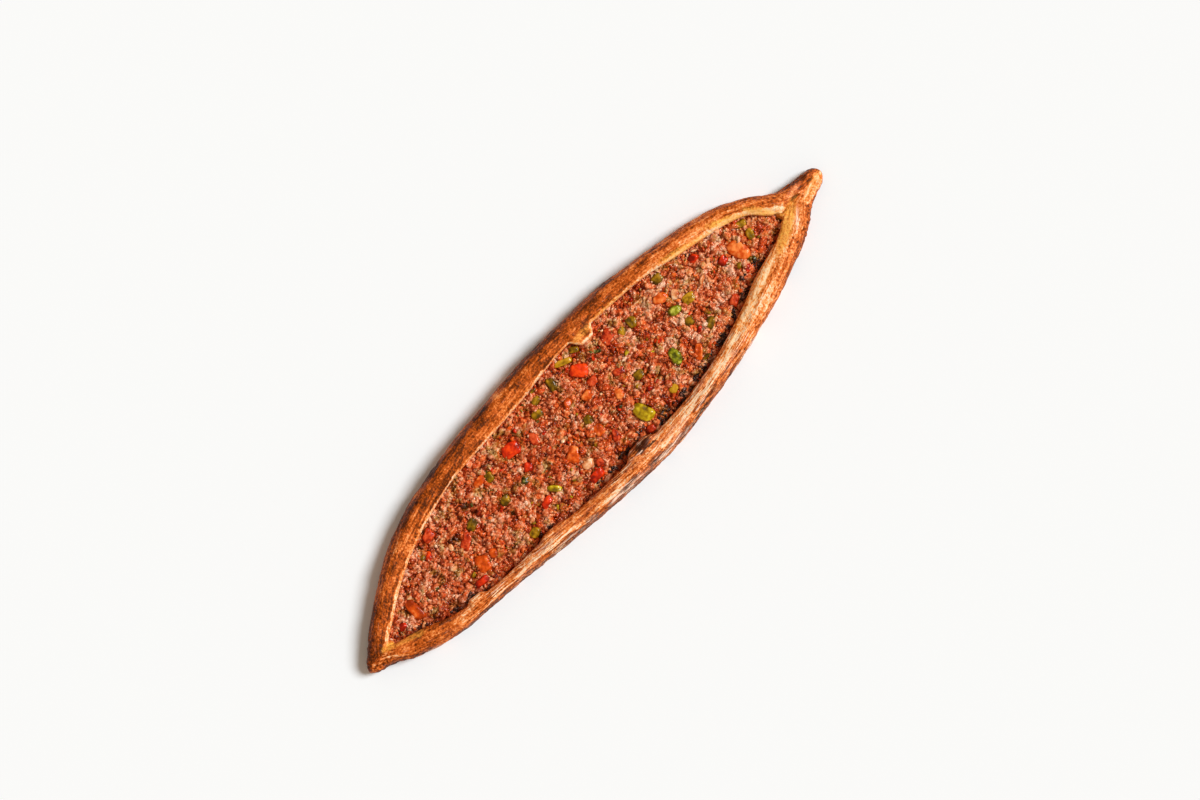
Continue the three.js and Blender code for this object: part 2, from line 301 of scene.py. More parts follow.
def nuggets(
    rng: Random, middles: Array, sizes: Array, frames: Array, faces: tuple[int, int], jagged: float
) -> Surface:
    """Many small uneven lumps as one surface, each a closed shell.

    A lump is a low ball whose reach is 1 + 0.22 sin(f.d + a) + 0.16 sin(g.d + b) for the direction d, with
    every corner shifted at random, then stretched by its half sizes, turned by its frame and moved.

    Args:
        rng: the random numbers to draw from.
        middles: the lumps' middles.
        sizes: the lumps' three half sizes.
        frames: for each lump, the three directions that its sizes lie along, as columns.
        faces: rows and sides of a lump.
        jagged: how far a corner's reach is shifted at most, as a share.

    Returns:
        The lumps, rows times sides plus 2 vertices each.
    """
    rows, sides = faces
    count = len(middles)
    polar = np.linspace(0, np.pi, rows + 2)[1:-1, None]
    turn = np.linspace(0, 2 * np.pi, sides, endpoint=False)[None, :]
    out = np.sin(polar)
    ball = np.stack([out * np.cos(turn), out * np.sin(turn), np.cos(polar) + 0 * turn], axis=-1)
    shell = loft(ball, np.array([0, 0, 1.0]), np.array([0, 0, -1.0]))
    away = shell.vertices
    swing = rng.normal(size=(2, count, 3)) * np.array([2.2, 3.4])[:, None, None]
    waves = np.sin(swing @ away.T + rng.uniform(0, 2 * np.pi, (2, count, 1)))
    reach = 1 + 0.22 * waves[0] + 0.16 * waves[1] + rng.uniform(-jagged, jagged, (count, len(away)))
    points = np.einsum("nij,nvj->nvi", frames, reach[..., None] * away * sizes[:, None, :])
    ids = np.arange(count)[:, None, None] * len(away)
    return Surface(
        (points + middles[:, None, :]).reshape(-1, 3),
        (shell.quads[None] + ids).reshape(-1, 4),
        (shell.triangles[None] + ids).reshape(-1, 3),
    )


def random_frames(rng: Random, count: int, upright: float, lengthwise: float) -> Array:
    """Random right-handed frames, for lumps that lie anyhow.

    Args:
        rng: the random numbers to draw from.
        count: how many.
        upright: 0 for any lie; the larger, the nearer each third direction is to straight up.
        lengthwise: the larger, the nearer each first direction is to +X.

    Returns:
        The frames' three directions, as columns.
    """
    up = rng.normal(size=(count, 3)) + [0, 0, upright]
    off = np.cross(up, rng.normal(size=(count, 3)) + [lengthwise, 0, 0])
    up, off = (v / np.linalg.norm(v, axis=1, keepdims=True) for v in (up, off))
    return np.stack([np.cross(off, up), off, up], axis=-1)


# ------------------------------------------------------------------ materials


def add(
    tree: bpy.types.NodeTree, kind: str, inputs: dict[Any, Any] | None = None, **settings: Any
) -> bpy.types.Node:
    """Adds a shader node with its settings and links.

    Args:
        tree: the material's node tree.
        kind: the node's type, without the "ShaderNode" that they all start with.
        inputs: for each socket, by name or number, a value or a (node, output) pair to link from.
        **settings: the node's own properties; "stops" are a colour ramp's (place, colour) pairs.

    Returns:
        The new node.
    """
    node = tree.nodes.new(f"ShaderNode{kind}")
    stops = settings.pop("stops", None)
    for key, value in settings.items():
        setattr(node, key, value)
    if stops:
        ramp = node.color_ramp
        ramp.elements.remove(ramp.elements[1])
        for i, (place, colour) in enumerate(stops):
            element = ramp.elements.new(place) if i else ramp.elements[0]
            element.position, element.color = place, linear(colour)
    for key, value in (inputs or {}).items():
        if isinstance(value, tuple) and isinstance(value[0], bpy.types.Node):
            tree.links.new(value[0].outputs[value[1]], node.inputs[key])
        else:
            node.inputs[key].default_value = value
    return node


class Finish:
    """A procedural material, made once and shared by the pieces that wear it."""

    name: str

    def material(self) -> bpy.types.Material:
        """The finish's material, from the file if it has been made already."""
        found = bpy.data.materials.get(self.name)
        if found:
            return found
        made = bpy.data.materials.new(self.name)
        made.use_nodes = True
        made.node_tree.nodes.clear()
        self.wire(made.node_tree)
        return made

    def wire(self, tree: bpy.types.NodeTree) -> None:
        """Builds the node tree; each finish has its own."""
        raise NotImplementedError

    def close(self, tree: bpy.types.NodeTree, inputs: dict[Any, Any]) -> None:
        """Ends the tree with the shader and the material's output."""
        shader = add(tree, "BsdfPrincipled", inputs)
        add(tree, "OutputMaterial", {"Surface": (shader, "BSDF")})


@dataclass(frozen=True)
class BakedDough(Finish):
    """Oven-baked wheat dough, hand shaped and floured: cream where it was last folded, through gold to
    dark brown where the heat caught it, with scorched spots and dry flour on its outer side.

    The piece's values say how far each place is baked, scorched and floured, the flour mask also
    holding a painted highlight on the blister, and how far across the surface it lies, in millimetres,
    so that the streaks of the stretched dough run along the rim.
    """

    name: str = "baked_dough"
    # From unbaked to scorched, at these levels of bake.
    toasting: tuple[tuple[float, str], ...] = (
        (0.0, "#ffe4c0"), (0.15, "#ffb878"), (0.35, "#f18a40"), (0.55, "#c85c16"), (0.76, "#924208"),
        (0.95, "#562402"),
    )
    scorched: str = "#351307"
    flour: str = "#ffdcc4"
    buttered: str = "#ffbe50"  # where fat from the filling has soaked in
    # Stretched streaks, and the fine lines that stretching tears: mm long, mm wide, and how bent.
    streak: tuple[float, float, float] = (12.0, 1.4, 0.9)
    line: tuple[float, float, float] = (15.0, 1.0, 0.4)
    pore: float = 0.9  # mm, of the pores and grains of the skin

    def drawn_out(
        self, tree: bpy.types.NodeTree, place: Link, across: Link, length: float, width: float, bend: float
    ) -> Link:
        """Noise drawn out along the rim.

        Args:
            tree: the tree that it is added to.
            place: the place on the object.
            across: the distance across the surface, in millimetres.
            length: a streak's length, in millimetres.
            width: its width.
            bend: how much it bends.

        Returns:
            The noise, 0 to 1.
        """
        x = (add(tree, "SeparateXYZ", {0: place}), "X")
        along = (add(tree, "Math", {0: x, 1: 1000 / length}, operation="MULTIPLY"), 0)
        aside = (add(tree, "Math", {0: across, 1: 1 / width}, operation="MULTIPLY"), 0)
        vector = (add(tree, "CombineXYZ", {"X": along, "Y": aside, "Z": width}), 0)
        noise = {"Vector": vector, "Scale": 1.0, "Detail": 3.0, "Roughness": 0.6, "Distortion": bend}
        return add(tree, "TexNoise", noise), "Fac"

    def wire(self, tree: bpy.types.NodeTree) -> None:
        """Colours a ramp by the bake, streaks, lines and pores, then lays fat, scorch and flour over it."""
        place = (add(tree, "TexCoord"), "Object")
        across, bake, char, flour, butter, torn = (
            (add(tree, "Attribute", attribute_name=key), "Fac")
            for key in ("across", "bake", "char", "flour", "butter", "torn")
        )
        grain = {"Vector": place, "Scale": 500 / self.pore, "Detail": 2.0, "Roughness": 0.7}
        pores = (add(tree, "TexNoise", grain), "Fac")
        streaks, lines = (self.drawn_out(tree, place, across, *shape) for shape in (self.streak, self.line))
        torn_lines = {"Value": lines, "From Min": 0.38, "From Max": 0.62, "To Min": -0.5, "To Max": 0.5}
        torn_lines = (add(tree, "MapRange", torn_lines), 0)
        # Streaks shift the bake by about 0.12 either way, pores by twice as much, and lines by half of
        # how torn the skin is.
        level = (add(tree, "Math", {0: bake, 1: 0.95}, operation="SUBTRACT"), 0)
        for term, gain in ((streaks, 0.6), (pores, 1.3), (torn_lines, torn)):
            level = (add(tree, "Math", {0: term, 1: gain, 2: level}, operation="MULTIPLY_ADD"), 0)
        toast = add(tree, "ValToRGB", {"Fac": level}, stops=self.toasting)
        # Fat soaks in unevenly: least where the pores are deep.
        fat = {"Value": pores, "From Min": 0.35, "From Max": 0.65, "To Min": 1.2, "To Max": 0.3}
        fat = (add(tree, "MapRange", fat), 0)
        soak = add(tree, "Math", {0: butter, 1: fat}, operation="MULTIPLY", use_clamp=True)
        # Scorch breaks up into pores and lines at its edge: the mask plus both, through a narrow step.
        ragged = char
        for term, gain in ((pores, 0.4), (lines, 0.6)):
            ragged = (add(tree, "Math", {0: term, 1: gain, 2: ragged}, operation="MULTIPLY_ADD"), 0)
        scorch = add(tree, "MapRange", {"Value": ragged, "From Min": 0.82, "From Max": 1.25, "To Max": 0.92})
        # Flour, and the blister's painted highlight, lie in the lines: the mask less three times their
        # depth, through a step.
        dusty = (add(tree, "Math", {0: lines, 1: -3.0, 2: flour}, operation="MULTIPLY_ADD"), 0)
        dust = add(tree, "MapRange", {"Value": dusty, "From Min": -1.0, "From Max": -0.55, "To Max": 0.85})
        dust = {0: flour, 1: 0.2, 2: (dust, 0)}
        dust = add(tree, "Math", dust, operation="MULTIPLY_ADD", use_clamp=True)
        colour = (toast, "Color")
        for mask, cover in ((soak, self.buttered), (scorch, self.scorched), (dust, self.flour)):
            colour = (add(tree, "Mix", {0: (mask, 0), 6: colour, 7: linear(cover)}, data_type="RGBA"), 2)
        dryness = {"Value": streaks, "From Min": 0.3, "From Max": 0.7, "To Min": 0.42, "To Max": 0.62}
        dryness = (add(tree, "MapRange", dryness), 0)
        bump = (add(tree, "Bump", {"Height": pores, "Strength": 0.8, "Distance": 0.9 * MM}), 0)
        furrows = {"Height": streaks, "Strength": 0.5, "Distance": 0.5 * MM, "Normal": bump}
        crust = {
            "Base Color": colour,
            "Roughness": dryness,
            "Normal": (add(tree, "Bump", furrows), 0),
            "IOR": 1.45,
            "Specular IOR Level": 0.15,
            "Subsurface Weight": 0.06,
            "Subsurface Radius": (0.003, 0.0015, 0.0008),
            "Subsurface Scale": 1.0,
        }
        self.close(tree, crust)


@dataclass(frozen=True)
class CookedMeat(Finish):
    """Minced beef, fried in its own fat with tomato paste: pinkish brown crumbs, redder where the paste
    clings, with a film of oil that glints.

    The piece's value "tone", from 0 to 1, shifts it from dark and soaked to pale and fatty, and its low
    end also stands for painted shade in the mince's hollows and cracks; its value "paste" shifts it
    from bare meat to meat under tomato paste, and its value "char" from fried to burnt, and to painted
    shade beside the front wall. Herbs stain it green in patches.
    """

    name: str = "cooked_meat"
    meat: tuple[str, ...] = ("#4e1204", "#8e2e0a", "#bc5022", "#dc7a4c", "#eca07a", "#f8c8a8")
    paste: tuple[str, ...] = ("#5a1002", "#a02e08", "#cc4610", "#e66628", "#f49256", "#fab486")
    herb: tuple[str, ...] = ("#382604", "#6a500a", "#90721c", "#b69c48")
    # For the char value: burnt meat, and painted shade beside the front wall.
    burnt: tuple[str, ...] = ("#120604", "#26100a", "#42221a", "#80584a", "#c09888")
    grain: float = 1.0  # mm, of the coarse fibres that break up a crumb's skin
    granule: float = 2.3  # mm, of the chopped grains
    bend: float = 1.7  # mm, how far the fibres bend the grains' edges
    drawn: float = 1.6  # how many times longer they lie along the boat
    herb_patch: float = 5.0  # mm, of the patches where green juice shows
    oil: float = 0.55  # how strong the film of oil is

    def wire(self, tree: bpy.types.NodeTree) -> None:
        """Colours four ramps by the tone and the grain, and lays three over the first, all under oil."""
        place = (add(tree, "TexCoord"), "Object")
        tone, paste, char = (
            (add(tree, "Attribute", attribute_name=key), "Fac") for key in ("tone", "paste", "char")
        )
        drawn = {0: place, 1: (1 / self.drawn, 1.0, 1.0)}
        drawn = (add(tree, "VectorMath", drawn, operation="MULTIPLY"), 0)
        grain = {"Vector": drawn, "Scale": 500 / self.grain, "Detail": 3.0, "Roughness": 0.65}
        fibres = add(tree, "TexNoise", grain)
        grain = {"Vector": place, "Scale": 500 / self.herb_patch, "Detail": 3.0, "Roughness": 0.6}
        patches = (add(tree, "TexNoise", grain), "Fac")
        bent = {0: (fibres, "Color"), 1: (self.bend * MM,) * 3, 2: drawn}
        bent = (add(tree, "VectorMath", bent, operation="MULTIPLY_ADD"), 0)
        granules = add(tree, "TexVoronoi", {"Vector": bent, "Scale": 1000 / self.granule})
        # The tone, lifted or lowered by the fibres and by each grain's own tone, and lowered towards the
        # gaps between grains as painted shade.
        level = (add(tree, "Math", {0: tone, 1: 0.38}, operation="SUBTRACT"), 0)
        shifts = (((fibres, "Fac"), 1.05), ((granules, "Color"), 0.3), ((granules, "Distance"), -0.5))
        for term, gain in shifts:
            level = (add(tree, "Math", {0: term, 1: gain, 2: level}, operation="MULTIPLY_ADD"), 0)
        ramps = []
        for colours in (self.meat, self.paste, self.herb, self.burnt):
            stops = [(i / (len(colours) - 1), colour) for i, colour in enumerate(colours)]
            ramps.append((add(tree, "ValToRGB", {"Fac": level}, stops=stops), "Color"))
        green = add(tree, "MapRange", {"Value": patches, "From Min": 0.52, "From Max": 0.66, "To Max": 0.65})
        colour = ramps[0]
        # The last cover, by the char value, is burnt meat and also painted shade beside the front wall.
        for mask, cover in zip((paste, (green, 0), char), ramps[1:]):
            colour = (add(tree, "Mix", {0: mask, 6: colour, 7: cover}, data_type="RGBA"), 2)
        height = {0: (granules, "Distance"), 1: -1.0, 2: (fibres, "Fac")}
        height = (add(tree, "Math", height, operation="MULTIPLY_ADD"), 0)
        bump = (add(tree, "Bump", {"Height": height, "Strength": 1.0, "Distance": 1.1 * MM}), 0)
        oiled = {
            "Base Color": colour,
            "Normal": bump,
            "Roughness": 0.5,
            "IOR": 1.42,
            "Specular IOR Level": 0.12,
            "Subsurface Weight": 0.1,
            "Subsurface Radius": (0.002, 0.0008, 0.0005),
            "Subsurface Scale": 1.0,
            "Coat Weight": self.oil,
            "Coat Roughness": 0.12,
            "Coat IOR": 1.47,
            "Coat Normal": bump,
        }
        self.close(tree, oiled)


@dataclass(frozen=True)
class WetVegetable(Finish):
    """A diced vegetable, softened in the oven and wet with juice and oil: its flesh lets light in, its
    colour wanders between three tones, and its film gives small sharp highlights."""

    name: str
    dark: str
    body: str
    light: str
    patch: float = 3.0  # mm, of the patches of colour
    roughness: float = 0.4
    depth: float = 0.12  # share of light that goes into the flesh
    film: float = 0.4

    def wire(self, tree: bpy.types.NodeTree) -> None:
        """Colours a ramp by patches and the piece's tone, with wrinkles, cells and a wet film."""
        place = (add(tree, "TexCoord"), "Object")
        tone = (add(tree, "Attribute", attribute_name="tone"), "Fac")
        grain = {"Vector": place, "Scale": 500 / self.patch, "Detail": 2.0, "Roughness": 0.55}
        patches = (add(tree, "TexNoise", grain), "Fac")
        # Cells of the flesh, drawn at 0.5 mm so that they show.
        grain = {"Vector": place, "Scale": 1000.0, "Detail": 2.0, "Roughness": 0.5}
        cells = (add(tree, "TexNoise", grain), "Fac")
        strong = {"Value": patches, "From Min": 0.3, "From Max": 0.7, "To Min": 0.05, "To Max": 0.95}
        strong = (add(tree, "MapRange", strong), 0)
        level = (add(tree, "Math", {0: tone, 1: 0.5, 2: strong}, operation="MULTIPLY_ADD"), 0)
        stops = [(0.2, self.dark), (0.62, self.body), (1.0, self.light)]
        bump = (add(tree, "Bump", {"Height": patches, "Strength": 0.6, "Distance": 1.6 * MM}), 0)
        skin = {"Height": cells, "Strength": 0.25, "Distance": 0.3 * MM, "Normal": bump}
        wet = {
            "Base Color": (add(tree, "ValToRGB", {"Fac": level}, stops=stops), "Color"),
            "Normal": (add(tree, "Bump", skin), 0),
            "Roughness": self.roughness,
            "IOR": 1.4,
            "Specular IOR Level": 0.18,
            "Subsurface Weight": self.depth,
            "Subsurface Radius": (0.003, 0.0012, 0.0006),
            "Subsurface Scale": 1.0,
            "Coat Weight": self.film,
            "Coat Roughness": 0.08,
            "Coat IOR": 1.38,
        }
        self.close(tree, wet)


@dataclass(frozen=True)
class StudioPaper(Finish):
    """Matt white paper, as a studio's sweep: even and without a pattern."""

    name: str = "studio_paper"
    colour: str = "#f0f9ff"

    def wire(self, tree: bpy.types.NodeTree) -> None:
        """A matt white shader."""
        self.close(tree, {"Base Color": linear(self.colour), "Roughness": 0.9, "Specular IOR Level": 0.1})


# Pieces that differ from their kind: greener strips of pepper, and tomato that has soaked up fat.
FRESH_PEPPER = WetVegetable("fresh_pepper", "#4c4e04", "#8c9008", "#cccc54", patch=2.0, film=0.7)
SOAKED_TOMATO = WetVegetable("soaked_tomato", "#6e1204", "#bc340c", "#dc5828", patch=1.7)


class Veg(Enum):
    """The vegetables of the filling, with their finishes. Each name starts the names of its nodes in
    the part, and is the slot name logged for its pieces.
    """

    tomato_red = WetVegetable("stewed_tomato", "#841402", "#d42e04", "#fa4e0e", depth=0.15)
    tomato_orange = WetVegetable("baked_tomato", "#983002", "#d85208", "#f68e44", depth=0.12)
    pepper_green = WetVegetable("green_pepper", "#6c5202", "#b29406", "#dcc62a", film=0.6)
    pepper_olive = WetVegetable("baked_pepper", "#503800", "#8a6400", "#c29218")
    onion = WetVegetable("stewed_onion", "#b85c2c", "#e89e66", "#fcd8b0", depth=0.2)


PARSLEY = WetVegetable("parsley_leaf", "#2c2a08", "#4e4c0e", "#98904a", patch=1.2)


# ------------------------------------------------------------------ the boat's plan


@dataclass(frozen=True)
class Boat:
    """The boat's plan and heights, which the bread and the mince share with the part's solids.

    A side is 1 for the back rim and -1 for the front rim.
    """

    # Each rim's outer edge, across from the line through both tips.
    outer: dict[int, Outline] = field(
        default_factory=lambda: {
            1: Outline((
                (-285, 4.5), (-270, 16), (-250, 30), (-200, 57.5), (-150, 71.5), (-90, 78), (-10, 80),
                (60, 76), (120, 66.5), (170, 55.5), (200, 46), (225, 31.5), (246, 14.5), (262, 10.5),
                (285, 7),
            )),
            -1: Outline((
                (-285, -2.5), (-262, -11), (-250, -19.5), (-200, -36), (-150, -42.5), (-100, -51),
                (-40, -59.5), (30, -65), (100, -59.5), (150, -52.5), (200, -40.5), (240, -26.5),
                (262, -13.5), (285, -8),
            )),
        }
    )
    # Each rim's inner edge, likewise; past the tray's two ends they have met.
    lips: dict[int, Outline] = field(
        default_factory=lambda: {
            1: Outline((
                (-285, 1), (-258, 4.5), (-250, 9), (-200, 35.5), (-150, 51), (-110, 57), (-40, 57.5),
                (20, 60.5), (60, 57.5), (110, 51.5), (150, 41), (200, 27), (215, 19.5), (228, 5),
                (239, -1), (285, -1),
            )),
            -1: Outline((
                (-285, 1), (-258, 4), (-250, 0.5), (-225, -8.5), (-200, -20), (-150, -30), (-100, -34),
                (-50, -40.5), (0, -44), (50, -45), (100, -41), (150, -30), (180, -20), (220, -11),
                (239, -1), (285, -1),
            )),
        }
    )
    # The rims' height.
    crest: Outline = Outline((
        (-285, 12), (-258, 18.5), (-200, 22), (-100, 24), (100, 24), (200, 22), (239, 19), (262, 15),
        (285, 12),
    ))
    # Where the folded edge swells over the filling: side, x, reach and length.
    bulges: tuple[tuple[int, float, float, float], ...] = (
        (1, 47, 8.6, 26), (-1, -177, 3.5, 22), (-1, -92, 2.5, 34), (-1, 9, 6, 38),
    )
    # The wave along each crest: its rise and length in millimetres, and its phase.
    waves: dict[int, tuple[float, float, float]] = field(
        default_factory=lambda: {1: (0.7, 118, 0.6), -1: (0.8, 94, 2.1)}
    )
    base: float = 5.0  # mm, of bread under the filling
    seam: float = 0.3  # mm, half the width of the seam where the rims have met
    foot: float = 0.93  # share of a rim's width at which the mince meets its wall
    gap: float = 0.3  # mm, between the mince and the bread
    pointed: float = 6.0  # mm, the radius that rounds the pointed tip
    blunt: float = 9.0  # mm, the radius that rounds the blunt tip
    tip_height: float = 5.0  # mm, at which each tip closes

    def wall(self, x: Array, side: int) -> Array:
        """The rim's outer edge at x, across the frame."""
        return self.outer[side](x) + TIP_LINE_Y

    def tray(self, x: Array) -> tuple[Array, Array, Array]:
        """The opening between the lips.

        Args:
            x: places along the boat.

        Returns:
            The front lip and the back lip across the frame, and how far shut the tray is, 0 to 1.
        """
        reach = {1: 0.0, -1: 0.0}
        for side, middle, out, length in self.bulges:
            reach[side] = reach[side] + out * smoothstep(0.5 * length, 0.2 * length, np.abs(x - middle))
        back = self.lips[1](x) - reach[1]
        front = self.lips[-1](x) + reach[-1]
        middle = (back + front) / 2 + TIP_LINE_Y
        half = np.maximum((back - front) / 2, self.seam)
        return middle - half, middle + half, smoothstep(12, 2, 2 * half)

    def height(self, x: Array, side: int) -> Array:
        """The rim's crest height at x: the crest plus a sine wave that fades towards the tips."""
        rise, length, phase = self.waves[side]
        fade = smoothstep(0.92 * HALF_LENGTH, 0.76 * HALF_LENGTH, np.abs(x))
        return self.crest(x) + fade * rise * np.sin(2 * np.pi * x / length + phase)

    def pinched(self, x: Array) -> Array:
        """How far the seam between the met rims is filled, 0 to 1: past the tray's two ends."""
        return np.where(x < 0, smoothstep(-256, -270, x), smoothstep(241, 257, x))

    def shrink(self, x: Array) -> Array:
        """How much of the section is left at x: 1, and a quarter circle down to 0 at each tip."""
        rounding = np.where(x < 0, self.pointed, self.blunt)
        past = np.maximum(0, np.abs(x) - (HALF_LENGTH - rounding)) / rounding
        return np.sqrt(np.maximum(0, 1 - past**2))

    def filling_walls(self, x: Array) -> tuple[Array, Array]:
        """Where the mince meets the front wall and the back wall at x, across the frame."""
        front, back, _ = self.tray(x)
        low, high = self.wall(x, -1), self.wall(x, 1)
        return low + self.foot * (front - low) + self.gap, high + self.foot * (back - high) - self.gap

    def filling_top(self, x: Array, y: Array) -> Array:
        """The mince's height: a line between its edges, a crown 4t (1 - t), and two slanting waves.

        The share t runs from 0 at the front wall to 1 at the back wall; past a wall it stays.

        Args:
            x: the points' x.
            y: the points' y, across the frame.

        Returns:
            The height at each point.
        """
        front, back = self.filling_walls(x)
        share = np.clip((y - front) / np.maximum(back - front, 1), 0, 1)
        y = front + share * (back - front)
        waves = (np.sin(x / 9.7 + y / 6.1) + np.sin(x / 17.3 - y / 8.9 + 1.3)) / 2
        edge = 0.38 * self.height(x, -1) * (1 - share) + 0.5 * self.height(x, 1) * share
        return edge + 4 * share * (1 - share) * (2.4 + 0.5 * waves)


# ------------------------------------------------------------------ the bread


class Tint(Enum):
    """What a mark on the crust has done to it."""

    scorched = auto()
    browned = auto()
    pale = auto()
    floured = auto()
    buttered = auto()
    blistered = auto()


@dataclass
class Crust:
    """The bread: one closed skin of sections along the boat, from tip to tip.

    A rim's section is a smooth path through pairs: the share of its width in from the outside, and the
    share of the crest's height. Where the tray is open the lip hangs over the filling, and where the
    rims have met it lies flat beside the seam.
    """

    boat: Boat
    station_gap: float = 1.14  # mm, between sections
    rim_points: int = 78
    floor_points: int = 8
    sole_points: int = 14
    usual: tuple[float, float] = (20, 23)  # mm, a rim's usual width and height, to space its points by
    # A rim's section: its outside, and then its lip where the tray is open and where it is shut.
    outside: Knots = (
        (0.3, 0), (0.12, 0.03), (0.02, 0.2), (0, 0.4), (0.05, 0.64), (0.17, 0.86), (0.34, 0.98), (0.5, 1),
        (0.68, 0.95),
    )
    lip_open: Knots = (
        (0.84, 0.9), (0.95, 0.82), (1, 0.74), (0.98, 0.64), (0.92, 0.56), (0.9, 0.4), (0.93, 0),
    )
    lip_shut: Knots = (
        (0.78, 0.93), (0.86, 0.89), (0.92, 0.86), (0.95, 0.84), (0.97, 0.83), (0.985, 0.82), (1, 0.81),
    )
    # Marks, seen from above: x, y from the tips' line, half length, half width, heading and strength.
    marks: dict[Tint, tuple[tuple[float, ...], ...]] = field(
        default_factory=lambda: {
            Tint.scorched: (
                (-150, 67, 6, 2.4, 15, 0.55), (-122, 73, 9, 2.6, 8, 0.6), (-135, 57, 3, 1.5, 10, 0.5),
                (-143, 60, 3, 1.3, 12, 0.5), (-157, -44, 4, 1.8, -10, 0.55), (-125, -47, 6, 2, -12, 0.6),
                (-55, -50, 4, 1.6, -10, 0.5), (-60, -54, 4.5, 2, -10, 0.5), (-25, -57, 6, 2, -5, 0.5),
                (87, -55, 5, 2.6, 8, 0.6), (11.5, -43.2, 8.5, 3.6, -6, 0.85),
                (14, -47.4, 12, 1.0, -7, 1.0), (-62, -52, 9, 3, -10, 0.6), (-18, -56, 12, 2.2, -6, 0.65),
                (19, -59.8, 14, 2.4, -2, 0.6), (-98, -49.5, 10, 1.8, -9, 0.6),
                (-140, -41.5, 6, 1.2, -10, 0.45), (-20, -46.6, 26, 0.7, -4, 0.6),
                (62, -47.6, 26, 0.7, 2, 0.5), (92, 70, 8, 2, -9, 0.45), (-60, 77, 14, 2, 3, 0.5),
                (-212, 46, 8, 2, 26, 0.45), (-268, 10, 9, 2, 35, 0.5), (48.6, 57.2, 2.4, 0.9, 0, 0.6),
            ),
            Tint.browned: (
                (12, -41.5, 17, 5, 0, 0.9), (48.6, 56, 2.8, 2.2, 0, 1.0), (-268, 4, 12, 6, 20, 0.25),
                (150, 58, 22, 4, -12, 0.4), (204, 40, 14, 3.5, -25, 0.35), (239, -1, 5, 0.9, 0, 1.0),
            ),
            Tint.pale: (
                (-278, 2, 2, 1.4, 30, 0.8), (-177, -24, 6.5, 2.2, -38, 0.75), (47, 51.4, 6, 1.5, 0, 0.75),
                (45, 55, 11, 4, 0, 0.4), (38.5, 56, 5, 1.2, -48, 0.6), (55, 55, 5, 1.2, 48, 0.6),
                (226, 9, 12, 4, -60, 0.5), (231.5, 3, 5, 2, -50, 0.5), (170, 40, 11, 2.4, -20, 0.6),
                (120, 50, 15, 2, -9, 0.5), (270, -8, 14, 2.6, 11, 0.95), (279, -1.5, 3.5, 3.5, 0, 0.75),
                (-260, 3, 4, 1.6, 40, 0.6), (-208, 29.5, 20, 2, 24, 0.4), (-172, 54, 14, 1.2, 17, 0.4),
                (211, 23, 9, 2.4, -36, 0.45), (-249, -1, 8, 1.6, -26, 0.35), (254, 4, 9, 2, 12, 0.5),
                (-152, 55, 22, 0.9, 14, 0.6),
            ),
            Tint.floured: (
                # The first two are painted highlights: pale lines where the scorched blister catches the
                # lamp.
                (5.2, -45.6, 4, 0.7, -16, 1.0), (12, -41.2, 3, 0.5, 10, 0.5),
                (-62, -52.5, 8, 2, -10, 0.45), (-17, -57.5, 12, 1.6, -6, 0.6), (-22, -54.8, 8, 1, -6, 0.6),
                (20, -61, 13, 1.8, -2, 0.55), (42, -55, 15, 4, 0, 0.45), (22, -60.5, 34, 2.6, -2, 0.35),
                (-24, -56, 22, 2.2, -5, 0.35), (-228, -28, 14, 1.1, -20, 0.6),
                (132, -55.5, 34, 1.0, 9, 0.8), (256, 5, 9, 3, 0, 0.35), (241, -12.5, 11, 1.7, 40, 0.7),
            ),
            Tint.buttered: (
                (225, 11, 17, 4.2, -58, 0.85), (200, 29.5, 20, 3.2, -30, 0.8),
                (229, -11, 24, 5.4, 27, 0.8), (232, 3, 6, 2.4, -50, 0.7), (-257, 3, 7, 3, -20, 0.7),
                (-241, -4, 17, 3, -24, 0.5), (-232, 17, 22, 2, 31, 0.35), (160, 40, 26, 3, -19, 0.65),
                (80, 56, 20, 2, -6, 0.4), (160, -31, 50, 5.5, 16, 0.25), (48, 57, 12, 3, 0, 0.4),
                (270, -4, 14, 3.5, 14, 0.3),
            ),
            Tint.blistered: ((12.5, -43, 9.5, 4.4, -5, 1.0),),
        }
    )
    # How far baked a rim is, by the share of its width from the outside: the back one, and the front one
    # at the pointed half and at the blunt half.
    back_bake: Knots = (
        (0, 0.77), (0.12, 0.74), (0.3, 0.7), (0.5, 0.65), (0.7, 0.66), (0.8, 0.73), (0.88, 0.68), (1, 0.55),
    )
    left_bake: Knots = (
        (0, 0.84), (0.1, 0.76), (0.25, 0.66), (0.45, 0.58), (0.6, 0.46), (0.75, 0.36), (0.88, 0.42),
        (1, 0.54),
    )
    right_bake: Knots = (
        (0, 0.76), (0.1, 0.66), (0.25, 0.5), (0.45, 0.4), (0.6, 0.28), (0.75, 0.15), (0.9, 0.22), (1, 0.38),
    )
    # Share of the back rim's width at which the cut edge's pale band begins, by x.
    band_start: Knots = ((58, 0.84), (100, 0.83), (150, 0.8), (200, 0.74), (232, 0.6))
    # Share of the front rim's width, from the outside, at which its pale ridge runs: partly pale dry
    # skin, partly a painted highlight along the crest.
    pale_highlit_ridge: Outline = Outline((
        (-285, 0.3), (-200, 0.26), (-165, 0.36), (-140, 0.46), (-120, 0.54), (-90, 0.46), (-60, 0.38),
        (-30, 0.48), (0, 0.38), (30, 0.46), (60, 0.54), (110, 0.57), (150, 0.66), (200, 0.72), (240, 0.72),
        (285, 0.6),
    ))
    # How pale that ridge is at x, 0 to 1, its painted highlight included.
    paleness: Outline = Outline((
        (-285, 0), (-215, 0.1), (-180, 0.4), (-150, 0.8), (-120, 0.9), (-90, 1), (-62, 0.5), (-32, 0.95),
        (-4, 0.25), (12, 0.5), (30, 1), (120, 0.95), (160, 0.8), (200, 0.4), (225, 0), (285, 0),
    ))
